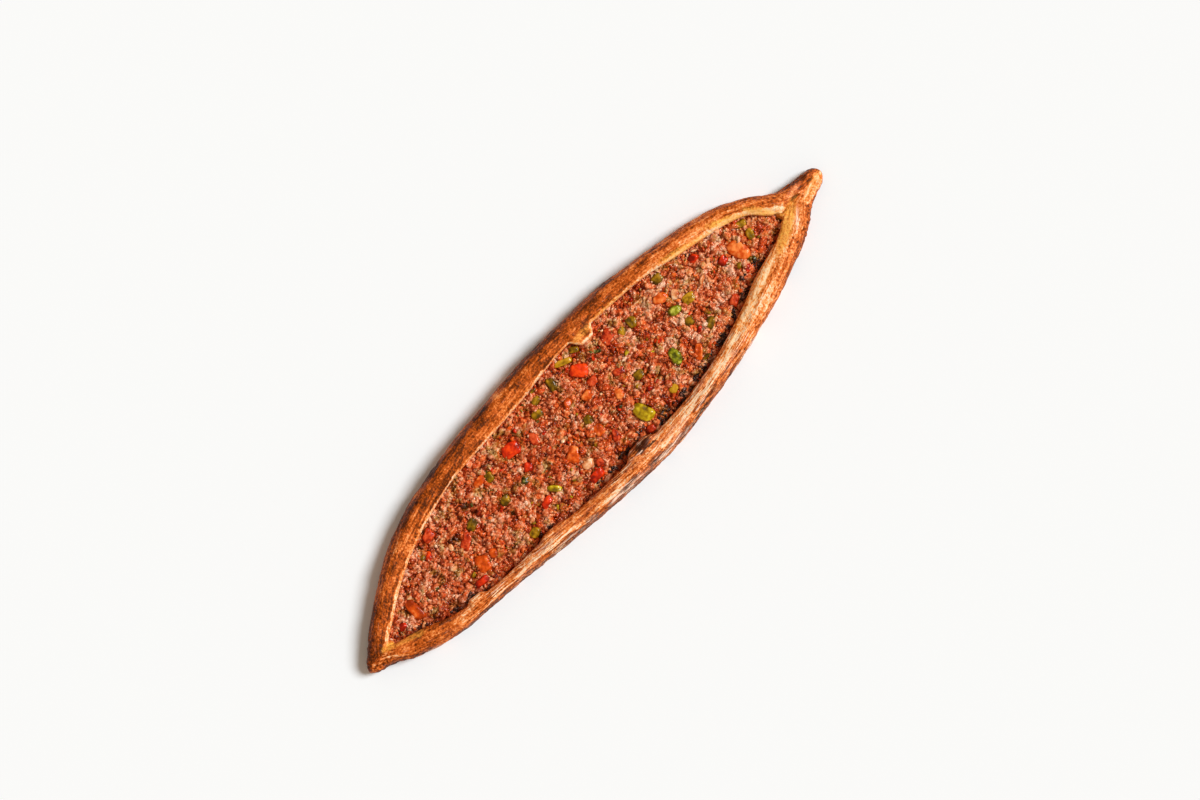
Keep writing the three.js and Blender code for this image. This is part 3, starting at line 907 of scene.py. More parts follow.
    # How much darker than elsewhere the oven has baked the back rim at x.
    oven: Outline = Outline((
        (-285, 0.2), (-262, 0.17), (-250, 0.08), (-225, -0.06), (-205, -0.08), (-180, -0.02), (-155, 0.04),
        (-120, 0.12), (-85, 0.05), (-60, -0.03), (-30, -0.04), (0, 0.05), (35, 0.07), (60, 0), (90, -0.02),
        (120, -0.16), (150, -0.24), (195, -0.22), (225, -0.16), (245, -0.16), (260, 0.08), (285, 0.1),
    ))

    def stations(self) -> Array:
        """Places along the boat: even along the body, and by the angle round each rounded tip."""
        pointed, blunt = self.boat.pointed, self.boat.blunt
        last = HALF_LENGTH - blunt + self.station_gap / 2
        body = np.arange(pointed - HALF_LENGTH, last, self.station_gap)
        start = pointed * (1 - np.cos(np.radians(np.arange(9, 88, 9)))) - HALF_LENGTH
        end = HALF_LENGTH - blunt * (1 - np.cos(np.radians(np.arange(84, 6, -7))))
        return np.concatenate([start, body, end])

    def path(self, knots: Knots, where: Array) -> Array:
        """A Catmull-Rom curve through pairs: cubic between knots, its tangents half the way across.

        Args:
            knots: the pairs that it passes through.
            where: places to look up, counted in knots from the first.

        Returns:
            The pairs there.
        """
        points = np.array(knots, float)
        before = np.concatenate([2 * points[:1] - points[1:2], points, 2 * points[-1:] - points[-2:-1]])
        i = np.clip(where.astype(int), 0, len(points) - 2)
        t = (where - i)[:, None]
        p0, p1, p2, p3 = (before[i + k] for k in range(4))
        curve = 2 * p1 + (p2 - p0) * t + (2 * p0 - 5 * p1 + 4 * p2 - p3) * t**2
        return (curve + (3 * p1 - p0 - 3 * p2 + p3) * t**3) / 2

    def rim_path(self) -> tuple[Array, Array]:
        """A rim's section with an open lip and with a shut one, with points even along the open one."""
        dense = np.linspace(0, len(self.outside) + len(self.lip_open) - 1, 900)
        open_form = self.path(self.outside + self.lip_open, dense)
        steps = np.linalg.norm(np.diff(open_form * self.usual, axis=0), axis=1)
        length = np.concatenate([[0], np.cumsum(steps)])
        where = np.interp(np.linspace(0, length[-1], self.rim_points), length, dense)
        return self.path(self.outside + self.lip_open, where), self.path(self.outside + self.lip_shut, where)

    def rim(self, x: Array, side: int) -> tuple[Array, Array, Array]:
        """A rim's sections at the stations.

        Args:
            x: the stations.
            side: 1 for the back rim, -1 for the front rim.

        Returns:
            Across and up for each station and point, and the share of the rim's width from the outside.
        """
        front, back, shut = self.boat.tray(x)
        lip = back if side > 0 else front
        outer, height = self.boat.wall(x, side), self.boat.height(x, side)
        open_form, shut_form = self.rim_path()
        blend = shut[:, None, None] * shut_form + (1 - shut[:, None, None]) * open_form
        share = blend[..., 0]
        filled = self.boat.pinched(x)[:, None] * smoothstep(0.5, 0.7, share)
        up = (blend[..., 1] * (1 - filled) + filled) * height[:, None]
        inside = np.arange(self.rim_points) > self.rim_points // 2
        up = np.where(inside, np.maximum(up, self.boat.base), np.maximum(up, 0))
        return outer[:, None] + share * (lip - outer)[:, None], up, share

    def sections(self) -> tuple[Array, dict[str, Array]]:
        """The rings of the undisturbed skin, and what each point knows of its place.

        Returns:
            The rings, and by name: side, share of the rim's width, up (share of the crest's height),
            and across, the distance round the ring from its rim's outer foot in millimetres, less on
            the sole.
        """
        x = self.stations()
        (y_front, z_front, s_front), (y_back, z_back, s_back) = (self.rim(x, side) for side in (-1, 1))
        t_floor = np.linspace(0, 1, self.floor_points + 2)[1:-1]
        t_sole = np.linspace(0, 1, self.sole_points + 2)[1:-1]
        y_floor = y_front[:, -1:] + t_floor * (y_back[:, -1:] - y_front[:, -1:])
        y_sole = y_back[:, :1] + t_sole * (y_front[:, :1] - y_back[:, :1])
        floor_z = np.minimum(z_front[:, -1:], z_back[:, -1:])
        y = np.concatenate([y_front, y_floor, y_back[:, ::-1], y_sole], axis=1)
        z = np.concatenate(
            [z_front, np.repeat(floor_z, self.floor_points, 1), z_back[:, ::-1], 0 * y_sole], axis=1
        )
        count = (self.rim_points, self.floor_points, self.rim_points, self.sole_points)
        side = np.repeat([FRONT, FLOOR, BACK, SOLE], count) * np.ones((len(x), 1))
        share = np.concatenate([s_front, 0 * y_floor + 1, s_back[:, ::-1], 0 * y_sole + 0.3], axis=1)
        heights = {s: self.boat.height(x, s)[:, None] for s in (-1, 1)}
        up = z / np.where(side > 0, heights[1], heights[-1])
        shrink = self.boat.shrink(x)[:, None]
        front, back, _ = self.boat.tray(x)
        seam = ((front + back) / 2)[:, None]
        tip = self.boat.tip_height
        rings = np.stack([x[:, None] + 0 * y, seam + shrink * (y - seam), tip + shrink * (z - tip)], axis=-1)
        steps = np.linalg.norm(np.diff(rings[:, :, 1:], axis=1), axis=-1)
        across = np.concatenate([0 * x[:, None], np.cumsum(steps, axis=1)], axis=1)
        back_foot = across[:, [2 * self.rim_points + self.floor_points - 1]]
        # Nothing stretches the sole into lines, so its pattern is drawn eight times as wide.
        across = np.where(side == SOLE, (across - back_foot) / 8, across)
        across = np.where(side == BACK, back_foot - across, across)
        return rings, {"side": side, "share": share, "up": up, "across": across}

    def mark_masks(self, rings: Array, up: Array) -> dict[Tint, Array]:
        """Where each kind of mark lies: 1 inside its ellipse, ragged by noise, falling to 0 outside.

        Args:
            rings: the skin's points.
            up: each point's share of the crest's height.

        Returns:
            A mask for each tint.
        """
        x, y = rings[..., 0], rings[..., 1] - TIP_LINE_Y
        noise = Unevenness(11, 3.2, 3)(rings)
        seen = smoothstep(0.25, 0.45, up)
        masks = {tint: np.zeros_like(x) for tint in Tint}
        for tint, marks in self.marks.items():
            for at_x, at_y, length, width, heading, strength in marks:
                along, off = turned(x - at_x, y - at_y, heading)
                reach = np.sqrt((along / length) ** 2 + (off / width) ** 2) + noise * min(0.35, 0.7 / width)
                masks[tint] = np.maximum(masks[tint], strength * seen * smoothstep(1.35, 0.55, reach))
        return masks

    def relief(self, rings: Array, place: dict[str, Array], masks: dict[Tint, Array]) -> Array:
        """How far the skin stands out from its smooth section, in millimetres.

        It is the sum of slow hand-made swells, lumps, furrows along the rim, scorched blisters, a crater
        and a raised lip in the bubble, small pits, a raised cut edge and the tips' pinched folds.

        Args:
            rings: the skin's points.
            place: what each point knows of its place.
            masks: the marks' masks.

        Returns:
            The height for each point.
        """
        x, y = rings[..., 0], rings[..., 1]
        follow = np.stack([x, place["across"], 40 * place["side"]], axis=-1)
        # Swells of 34 mm, lumps of 9 and 2.8 mm, and furrows 3 and 1.3 mm wide; the lip is smoother.
        out = 0.6 * Unevenness(1, 34, 2)(rings, (1.6, 1, 1)) + 0.4 * Unevenness(2, 9, 2)(rings)
        out += 0.2 * Unevenness(3, 2.8, 2)(rings)
        out += 0.36 * Unevenness(4, 3.0, 2)(follow, (9, 1, 1))
        out += 0.14 * Unevenness(25, 1.3, 2)(follow, (26, 1, 1))
        out *= 1 - 0.75 * smoothstep(0.9, 0.96, place["share"]) * (place["side"] != FLOOR)
        # The bubble lies at x = 30 to 62: its crater is a browned mark, and its lip a pale one.
        out += 0.6 * masks[Tint.scorched] - 1.8 * masks[Tint.browned] * window(x, 42, 55, 3)
        out += masks[Tint.blistered] * (1.5 + 0.7 * Unevenness(28, 2.6, 2)(rings, (1.8, 1, 1)))
        out += 1.0 * masks[Tint.pale] * window(x, 30, 62, 4) - 0.35 * self.pits(rings, place)
        edge = np.exp(-(((place["share"] - 0.93) / 0.045) ** 2)) * (place["side"] > 0)
        out += 0.5 * edge * (place["up"] > 0.6) * window(x, -255, 225, 8)
        # Pinching draws the dough into folds that slant across the tips.
        slanted = np.stack([x + 0.9 * y, (y - 0.9 * x) / 5, 0 * x], axis=-1)
        near_tips = window(x, 236, 270, 12) + window(x, -282, -262, 10)
        out += 0.7 * Unevenness(5, 3.6, 2)(slanted) * near_tips * (place["up"] > 0.3)
        # The sole lay flat while it baked.
        quiet = smoothstep(-0.02, 0.12, place["up"]) * (place["side"] != SOLE)
        return out * (0.15 + 0.85 * quiet)

    def pits(self, rings: Array, place: dict[str, Array]) -> Array:
        """Small burst blisters, about 2 mm across: most towards the tips and on the front rim.

        Args:
            rings: the skin's points.
            place: what each point knows of its place.

        Returns:
            How deep each point lies in a pit, 0 to 1.
        """
        x = rings[..., 0]
        many = (place["side"] < 0) * window(x, 130, 235, 20) + window(x, 225, 285, 15)
        many += 0.8 * smoothstep(-140, -190, x)
        return smoothstep(0.3, 0.75, Unevenness(26, 2.1, 1)(rings)) * (0.3 + 0.7 * np.clip(many, 0, 1))

    def grain(self, rings: Array, place: dict[str, Array]) -> dict[str, Array]:
        """The uneven patterns that the bake follows, each about -1 to 1 unless a range is given.

        Args:
            rings: the skin's points.
            place: what each point knows of its place.

        Returns:
            By name: blotch, 13 mm patches; streak and lines, 3.4 and 1.3 mm wide along the rim; rough,
            0 to 1, where the skin is torn; speck, 3.2 mm spots; and pits, 0 to 1.
        """
        follow = np.stack([rings[..., 0], place["across"], 40 * place["side"]], axis=-1)
        return {
            "blotch": Unevenness(21, 13, 3)(rings, (1.5, 1, 1)),
            "streak": Unevenness(22, 3.4, 2)(follow, (7, 1, 1)),
            "lines": Unevenness(25, 1.3, 2)(follow, (15, 1, 1)),
            "rough": smoothstep(-0.3, 0.45, Unevenness(29, 11, 2)(follow, (2.5, 1, 1))),
            "speck": Unevenness(23, 3.2, 3)(rings),
            "pits": self.pits(rings, place),
        }

    def golden(self, x: Array, share: Array) -> Array:
        """How golden a rim's inner side is beside the filling's blunt end, 0 to 1."""
        return smoothstep(0.5, 0.64, share) * window(x, 207, 248, 8)

    def front_bake(self, x: Array, share: Array, grain: dict[str, Array]) -> tuple[Array, Array]:
        """How far the front rim is baked: two profiles blended along the boat, and the pale ridge, which is
        partly pale dry skin and partly a painted highlight along the crest.

        Args:
            x: the points' x.
            share: each point's share of the rim's width, from the outside.
            grain: the skin's patterns.

        Returns:
            The bake, and how calm the patterns are there, 0 to 1.
        """
        nearer = smoothstep(0, 80, x)
        left, right = (np.interp(share, *np.array(knots).T) for knots in (self.left_bake, self.right_bake))
        front = left * (1 - nearer) + right * nearer
        # Beside the filling's blunt end the inner side is golden, and both tips are darker.
        inner = self.golden(x, share)
        tips = 0.08 * smoothstep(-246, -262, x) + 0.07 * smoothstep(246, 258, x)
        front = front * (1 - inner) + 0.33 * inner + tips
        front -= 0.26 * window(x, 132, 188, 12) * smoothstep(0.6, 0.35, share)
        front += smoothstep(-190, -215, x) * (0.22 * smoothstep(0.5, 0.75, share) - 0.07)
        # The pale ridge, part painted highlight, wanders across by half its width and breaks up in places.
        middle = self.pale_highlit_ridge(x) + 0.06 * Unevenness(27, 26, 2)(np.stack([x, 0 * x, 0 * x], axis=-1))
        pale_highlit_ridge = window(share, middle - 0.07, middle + 0.07, 0.07) * self.paleness(x)
        broken = grain["streak"] + 0.5 * grain["lines"] + 0.4 * grain["blotch"]
        pale_highlit_ridge *= smoothstep(-0.6, 0.3, broken + 0.3)
        palest = -0.12 + 0.32 * smoothstep(100, 150, x)
        return front * (1 - pale_highlit_ridge) + palest * pale_highlit_ridge, 1 - np.maximum(0.4 * pale_highlit_ridge, 0.8 * inner)

    def cut_edge(self, x: Array, place: dict[str, Array], grain: dict[str, Array]) -> Array:
        """How pale the back lip's cut edge is: a thin line, and a wider band towards the blunt tip.

        Args:
            x: the points' x.
            place: what each point knows of its place.
            grain: the skin's patterns.

        Returns:
            The paleness, 0 to 1.
        """
        share, up, speck = place["share"], place["up"], grain["speck"]
        start = 0.912 + 0.03 * grain["streak"] + 0.02 * speck - 0.035 * smoothstep(-140, -190, x)
        line = window(share, start, start + 0.2, 0.02) * (up > 0.5) * window(x, -258, 64, 6)
        line *= 0.55 + 0.45 * smoothstep(-0.7, 0.2, grain["blotch"] + 0.6 * speck)
        start = np.interp(x, *np.array(self.band_start).T) + 0.03 * speck
        band = smoothstep(start, start + 0.06, share) * (up > 0.45) * window(x, 60, 238, 6)
        band *= 0.7 + 0.25 * smoothstep(150, 200, x)
        return (place["side"] > 0) * np.maximum(0.95 * line, band)

    def bake(self, rings: Array, place: dict[str, Array], masks: dict[Tint, Array]) -> dict[str, Array]:
        """How far each place is baked, scorched and floured, with a painted highlight on the blister.

        Args:
            rings: the skin's points.
            place: what each point knows of its place.
            masks: the marks' masks.

        Returns:
            The values "bake", "char", "flour" (flour, and a painted highlight on the blister),
            "butter", "torn" (how strong the fine lines are) and "across".
        """
        x, share, up, side = rings[..., 0], place["share"], place["up"], place["side"]
        grain = self.grain(rings, place)
        blotch, streak, lines, speck = (grain[key] for key in ("blotch", "streak", "lines", "speck"))
        back = np.interp(share, *np.array(self.back_bake).T)
        back += self.oven(x) + 0.06 * smoothstep(0.4, 0.8, share) * smoothstep(-60, -110, x)
        front, calm = self.front_bake(x, share, grain)
        bake = np.where(side > 0, back, front)
        sole = np.clip(smoothstep(0.16, 0.0, up) + (side == SOLE), 0, 1)
        bake = bake * (1 - sole) + 0.58 * sole
        uneven = 0.17 * blotch + 0.17 * streak + 0.08 * speck - 0.12 * lines
        pitted = 0.3 * grain["pits"] * (1 - 0.8 * self.golden(x, share))
        bake += np.where(side < 0, calm, 1) * uneven + pitted
        pale = self.cut_edge(x, place, grain)
        bake = bake * (1 - 0.95 * pale) + (0.03 + 0.06 * speck) * pale + 0.3 * masks[Tint.browned]
        bake = bake * (1 - 0.85 * masks[Tint.pale]) + 0.08 * masks[Tint.pale]
        hidden = (up < 0.52) & (share > 0.85) & (side != SOLE)
        bake = np.where(hidden, 0.3 + 0.1 * blotch, bake)
        outer = smoothstep(0.4, 0.1, share) * (side != FLOOR)
        # The rims' outer sides are burnt in spots, the front one most.
        burnt = np.where(side < 0, 0.75 - 0.4 * window(x, 120, 185, 20), 0.5)
        char = masks[Tint.scorched] + burnt * outer * smoothstep(0.35, 1.0, blotch + 0.7 * speck)
        dust = smoothstep(-0.1, 0.7, streak + 0.5 * lines) * (side == FRONT) * (0.2 + 0.42 * grain["rough"])
        dust *= (0.1 + 0.9 * window(x, -205, 130, 20)) * (0.45 + 0.55 * smoothstep(0.5, 0.85, up))
        flour = masks[Tint.floured] + dust + 0.45 * sole * smoothstep(-0.1, 0.7, blotch)
        torn = 0.35 + 0.65 * grain["rough"] + 0.25 * outer * window(x, -140, 120, 30)
        torn -= 0.6 * smoothstep(110, 150, x) + 0.45 * smoothstep(-180, -210, x)
        torn = np.where(side == FRONT, torn, 0.12) * (1 - 0.8 * pale)
        return {
            "bake": np.clip(bake, 0, 1),
            "char": np.clip(char, 0, 1),
            "flour": np.clip(flour, 0, 1),
            "butter": np.clip(masks[Tint.buttered], 0, 1),
            "torn": torn,
            "across": place["across"],
        }

    def build(self) -> bpy.types.Object:
        """Makes the bread and lets it stand for the part's crust.

        Returns:
            The bread's object.
        """
        rings, place = self.sections()
        masks = self.mark_masks(rings, place["up"])
        out = self.relief(rings, place, masks) * self.boat.shrink(rings[:, :1, 0])
        values = self.bake(rings, place, masks)
        skin = rings + out[..., None] * ring_normals(rings)
        skin[..., 2] = np.maximum(skin[..., 2], 0)
        front, _, _ = self.boat.tray(np.array([-HALF_LENGTH, HALF_LENGTH]))
        seam, tip = self.boat.seam, self.boat.tip_height
        tips = [(x, y + seam, tip) for x, y in zip((-HALF_LENGTH, HALF_LENGTH), front)]
        return loft(skin, *tips, values).write("crust_skin", BakedDough(), "crust", ("crust",))


# ------------------------------------------------------------------ the filling


@dataclass
class Toppings:
    """The diced vegetables that the part holds as nodes, each in its node's place.

    A piece is a rounded box over its node's plan: a superellipse across, and another upwards, with
    uneven corners, a bend over its length and small lumps.
    """

    rows: int = 20
    sides: int = 36
    # The exponent of a piece's plan: 2 would be an ellipse, and more is squarer.
    square: dict[str, float] = field(
        default_factory=lambda: {
            "tomato_red": 4.6, "tomato_orange": 4.0, "pepper_green": 2.5, "pepper_olive": 3.4, "onion": 3.4,
        }
    )
    # How far a piece's middle arches over its ends, in millimetres.
    arch: dict[str, float] = field(
        default_factory=lambda: {
            "tomato_red": 0.3, "tomato_orange": 0.3, "pepper_green": 1.5, "pepper_olive": 0.6, "onion": 0.4,
        }
    )
    # How much lighter than its kind each piece is, in the order of the nodes' numbers.
    shades: dict[str, tuple[float, ...]] = field(
        default_factory=lambda: {
            "tomato_red": (
                0.1, 0.1, -0.15, -0.8, -0.15, -0.3, -0.3, 0.35, 0.3, 0.15, 0, 0, 0.3, -0.2, -0.2, -0.3, 0,
                0.05, -0.05,
            ),
            "tomato_orange": (-0.6, -0.05, 0.1, 0.15, 0.25, 0.05, 0.2, -0.7, 0.7),
            "pepper_green": (-0.05, -0.1, -0.5, -0.15),
            "pepper_olive": (
                -0.5, -0.15, -0.4, 0, -0.4, -0.4, 0.35, -0.35, -0.25, -0.05, 0.3, -0.4, -0.75, 0, 0.2, -0.5,
                0, 0.4, 0.7, -0.05,
            ),
            "onion": (-0.2, -0.8, -0.3),
        }
    )
    # Pieces that the mince half covers.
    buried: frozenset[str] = frozenset({"tomato_red_12", "tomato_red_18", "tomato_red_19"})
    # Pieces with a finish of their own.
    special: dict[str, WetVegetable] = field(
        default_factory=lambda: {
            "pepper_green_2": FRESH_PEPPER,
            "pepper_green_3": FRESH_PEPPER,
            "tomato_red_3": Veg.tomato_orange.value,
            "tomato_red_13": Veg.tomato_orange.value,
            **{f"tomato_red_{i}": SOAKED_TOMATO for i in (1, 2, 8, 10, 11, 12, 15, 17, 18, 19)},
        }
    )
    # Pieces with rounder corners than their kind.
    rounder: frozenset[str] = frozenset(
        {"tomato_orange_7", "tomato_red_13", "tomato_red_15", "tomato_red_18"}
    )
    # How strong the ribs along a piece are, and the distance between them in millimetres.
    ribs: dict[str, tuple[float, float]] = field(
        default_factory=lambda: {"pepper_green": (0.22, 5.2), "pepper_olive": (0.2, 4.5)}
    )
    # Each piece's middle, length, width, heading and top, once it is built.
    plans: list[tuple[float, float, float, float, float, float]] = field(default_factory=list)

    def measure(self, node: str) -> tuple[Array, float, Array]:
        """Finds a node's middle, heading and size from its own points.

        Args:
            node: the node's name.

        Returns:
            Its middle, its heading in degrees, and its length, width and thickness, in millimetres.
        """
        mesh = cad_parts[node].data
        points = np.empty(len(mesh.vertices) * 3, np.float32)
        mesh.vertices.foreach_get("co", points)
        points = np.unique(np.round(points.reshape(-1, 3) / MM, 3), axis=0).astype(float)
        low, high = points.min(0), points.max(0)
        flat = points[:, :2] - points[:, :2].mean(0)
        _, axes = np.linalg.eigh(flat.T @ flat)
        heading = math.degrees(math.atan2(axes[1, 1], axes[0, 1]))
        along, off = turned(flat[:, 0], flat[:, 1], heading)
        middle = np.append(points[:, :2].mean(0), (low[2] + high[2]) / 2)
        return middle, heading, np.array([np.ptp(along), np.ptp(off), high[2] - low[2]])

    def dice(self, size: Array, square: float, arch: float, seed: int) -> Surface:
        """A rounded box about the origin.

        Rings run from the top down. A ring's reach is sin(p)^(2/4.5), its height is cos(p)^(2/4.5), and
        round it the reach is (|cos|^n + |sin|^n)^(-1/n), less up to an eighth at uneven corners. Then the
        plan is drawn in at one end and sheared, as a knife leaves it.

        Args:
            size: length, width and thickness in millimetres.
            square: the exponent n.
            arch: how far the middle rises over the ends.
            seed: which uneven shape it is.

        Returns:
            The closed surface, with the value "tone": -0.3 low on its sides, 0.3 on top.
        """
        rng = np.random.default_rng(seed)
        phase = rng.uniform(0, 2 * np.pi, 6)
        polar = np.linspace(0, np.pi, self.rows + 2)[1:-1, None]
        turn = np.linspace(0, 2 * np.pi, self.sides, endpoint=False)[None, :]
        out = np.sin(polar) ** (2 / 4.5)
        up = np.sign(np.cos(polar)) * np.abs(np.cos(polar)) ** (2 / 4.5)
        c, s = np.cos(turn), np.sin(turn)
        rounded = (np.abs(c) ** square + np.abs(s) ** square) ** (-1 / square)
        uneven = 1 - 0.03 * (2 + np.sin(2 * turn + phase[0]) + np.sin(3 * turn + phase[1]))
        reach = out * rounded * uneven * (1 - 0.07 * up)
        taper, shear = rng.uniform(-0.024, 0.024) * square, rng.uniform(-0.035, 0.035) * square
        y = reach * s * (1 + taper * reach * c) * size[1] / 2
        x = reach * c * size[0] / 2 + shear * y
        tilt = 0.3 * (np.cos(phase[2]) * x + np.sin(phase[2]) * y) / size[0] * 2
        z = up * size[2] / 2 + np.where(up > -0.5, 1, 0) * (arch * (0.6 - (2 * x / size[0]) ** 2) + tilt)
        rings = np.stack([x, y, z + 0 * turn], axis=-1)
        lumps = Unevenness(seed, 0.4 * size[1], 2)(rings + 50 * phase[3]) * 0.035 * size[1]
        grain = Unevenness(seed + 500, 1.8, 2)(rings + 50 * phase[4]) * 0.16
        rings = rings + (lumps + grain)[..., None] * ring_normals(rings)
        tone = 0.3 * up + 0.12 * np.sin(turn + phase[5]) + 0 * turn
        top, bottom = rings[0].mean(0), rings[-1].mean(0)
        return loft(rings, top, bottom, {"tone": tone})

    def build(self) -> list[bpy.types.Object]:
        """Makes every diced piece that the part has a node for.

        Returns:
            The pieces' objects.
        """
        made = []
        for veg in Veg:
            nodes = [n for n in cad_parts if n.rsplit("_", 1)[0] == veg.name]
            for i, node in enumerate(sorted(nodes, key=lambda n: int(n.rsplit("_", 1)[1]))):
                middle, heading, size = self.measure(node)
                square = 2.4 if node in self.rounder else self.square[veg.name]
                piece = self.dice(size * [1.12, 1.12, 1.0], square, self.arch[veg.name], 31 * i + 7)
                strength, gap = self.ribs.get(veg.name, (0.0, 1.0))
                ribs = strength * np.cos(2 * np.pi * (piece.vertices[:, 1] / gap + 0.13 * i))
                x, y = turned(piece.vertices[:, 0], piece.vertices[:, 1], -heading)
                piece.vertices = np.stack([x, y, piece.vertices[:, 2]], axis=-1) + middle
                piece.values["tone"] = piece.values["tone"] + self.shades[veg.name][i] + ribs
                bare = size[:2] - (3.5 if node in self.buried else 0.0)
                self.plans.append((*middle[:2], *bare, heading, middle[2] + size[2] / 2))
                finish = self.special.get(node, veg.value)
                made.append(piece.write(f"{node}_cut", finish, veg.name, (node,)))
        return made

    def clear_of(self, x: Array, y: Array, room: float) -> Array:
        """Which plan points lie outside every diced piece.

        Args:
            x: the points' x.
            y: the points' y, across the frame.
            room: how far beyond each piece's plan is kept clear too, in millimetres.

        Returns:
            True where a point is clear.
        """
        clear = np.ones(np.shape(x), bool)
        for at_x, at_y, length, width, heading, _ in self.plans:
            along, off = turned(x - at_x, y - at_y, heading)
            clear &= np.abs(along / (length / 2 + room)) ** 3 + np.abs(off / (width / 2 + room)) ** 3 > 1
        return clear

    def cover(self, x: Array, y: Array) -> Array:
        """The height of the diced piece under each plan point, or 0 beside them all."""
        height = np.zeros(np.shape(x))
        for at_x, at_y, length, width, heading, top in self.plans:
            along, off = turned(x - at_x, y - at_y, heading)
            inside = np.abs(2 * along / length) ** 3 + np.abs(2 * off / width) ** 3 < 1
            height = np.where(inside, np.maximum(height, top), height)
        return height


@dataclass
class MinceCore:
    """The mince's body: a crowned slab whose top is broken up by clumps, cracks and hollows."""

    boat: Boat
    start: float = -252.0
    end: float = 229.0
    spacing: float = 0.78
    strips: int = 126
    sunk: float = 1.5  # mm, how far the body lies under the part's mince, for the crumbs on top
    # How much of the mince beside the front wall is darkened, along the boat: partly burnt, partly
    # painted shadow of the front rim's lip.
    scorch_and_lip_shade: Outline = Outline((
        (-255, 0.1), (-226, 0.5), (-185, 0.65), (-150, 0.4), (-60, 0.25), (-22, 0.5), (8, 0.8), (26, 0.4),
        (40, 0.85), (50, 0.8), (68, 0.5), (92, 0.75), (108, 0.5), (122, 0.9), (150, 0.6), (175, 1), (195, 1),
        (212, 0.5), (229, 0.3),
    ))

    def top(self, x: Array, y: Array) -> Array:
        """The body's height at plan points: the part's mince, less what is sunk, plus its clumps.

        Args:
            x: the points' x.
            y: the points' y, across the frame.

        Returns:
            The heights.
        """
        points = np.stack([x, y, 0 * x], axis=-1)
        clumps = 1.15 * Unevenness(41, 12, 2)(points) + 0.85 * Unevenness(42, 5.0, 2)(points)
        return self.boat.filling_top(x, y) - self.sunk + clumps

    def looks(self, x: Array, y: Array) -> dict[str, Array]:
        """How the mince looks at plan points.

        Its tone varies in clumps of 7 mm and patches of 16 mm, and is paler in the blunt half. Tomato
        paste clings in patches of about 8 mm, most at the blunt end. A ragged strip beside the front
        wall is darkened: partly burnt, partly painted shadow of the front rim's lip.

        Args:
            x: the points' x.
            y: the points' y, across the frame.

        Returns:
            By name: tone, a shift of about -0.3 to 0.4; paste, 0 for none and 1 or more for a full coat;
            and char, 0 to 1.
        """
        points = np.stack([x, y, 0 * x], axis=-1)
        tone = 0.22 * Unevenness(60, 16, 2)(points) + 0.24 * Unevenness(62, 7, 2)(points)
        patches = smoothstep(-0.4, 0.5, Unevenness(44, 8, 2)(points))
        front, _ = self.boat.filling_walls(x)
        # Painted shade: the strip widens towards the pointed end, where the lip's shadow is deepest.
        width = 1.5 + 5 * self.scorch_and_lip_shade(x) + 3 * smoothstep(-140, -175, x)
        inward = y - front - 2.5 * Unevenness(61, 7, 2)(points)
        return {
            "tone": tone + 0.13 * smoothstep(65, 105, x),
            "paste": patches * (0.45 + 0.55 * smoothstep(-200, -120, x)) + 0.6 * smoothstep(185, 205, x),
            "char": smoothstep(width, 0.3 * width, inward) * self.scorch_and_lip_shade(x),
        }

    def build(self) -> bpy.types.Object:
        """Makes the mince's body, which stands for the part's mince together with its crumbs.

        Returns:
            The body's object.
        """
        x = np.arange(self.start, self.end, self.spacing)[:, None]
        share = np.linspace(0, 1, self.strips)[None, :]
        front, back = self.boat.filling_walls(x)
        y = front + share * (back - front)
        z = self.top(x + 0 * y, y)
        cracks = smoothstep(0.3, 0, np.abs(Unevenness(43, 3.0, 2)(np.stack([x + 0 * y, y, 0 * y], axis=-1))))
        rings = np.stack([x + 0 * y, y, z - 0.9 * cracks], axis=-1)
        foot = np.full_like(x, self.boat.base + self.boat.gap)
        low = np.stack([x, front, foot], axis=-1)
        high = np.stack([x, back, foot], axis=-1)
        rings = np.concatenate([low, rings, high], axis=1)
        looks = self.looks(rings[..., 0], rings[..., 1])
        # Painted shade: the body is darker along its cracks.
        looks["tone"] = looks["tone"] + np.pad(0.52 - 0.3 * cracks, ((0, 0), (1, 1)))
        body = loft(rings, rings[0].mean(0), rings[-1].mean(0), looks)
        return body.write("mince_body", CookedMeat(), "mince", ("mince",))


@dataclass(frozen=True)
class CrumbKind:
    """One size of loose crumb: its name, spacing, half size, faces, lift, seed and tone.

    The rest say how long and how flat a crumb is at most, and which share of the places has one.
    """

    name: str
    gap: float
    radius: tuple[float, float]
    faces: tuple[int, int]
    lift: float
    seed: int
    tone: tuple[float, float]
    long: float = 1.5
    flat: float = 0.65
    keep: float = 1.0


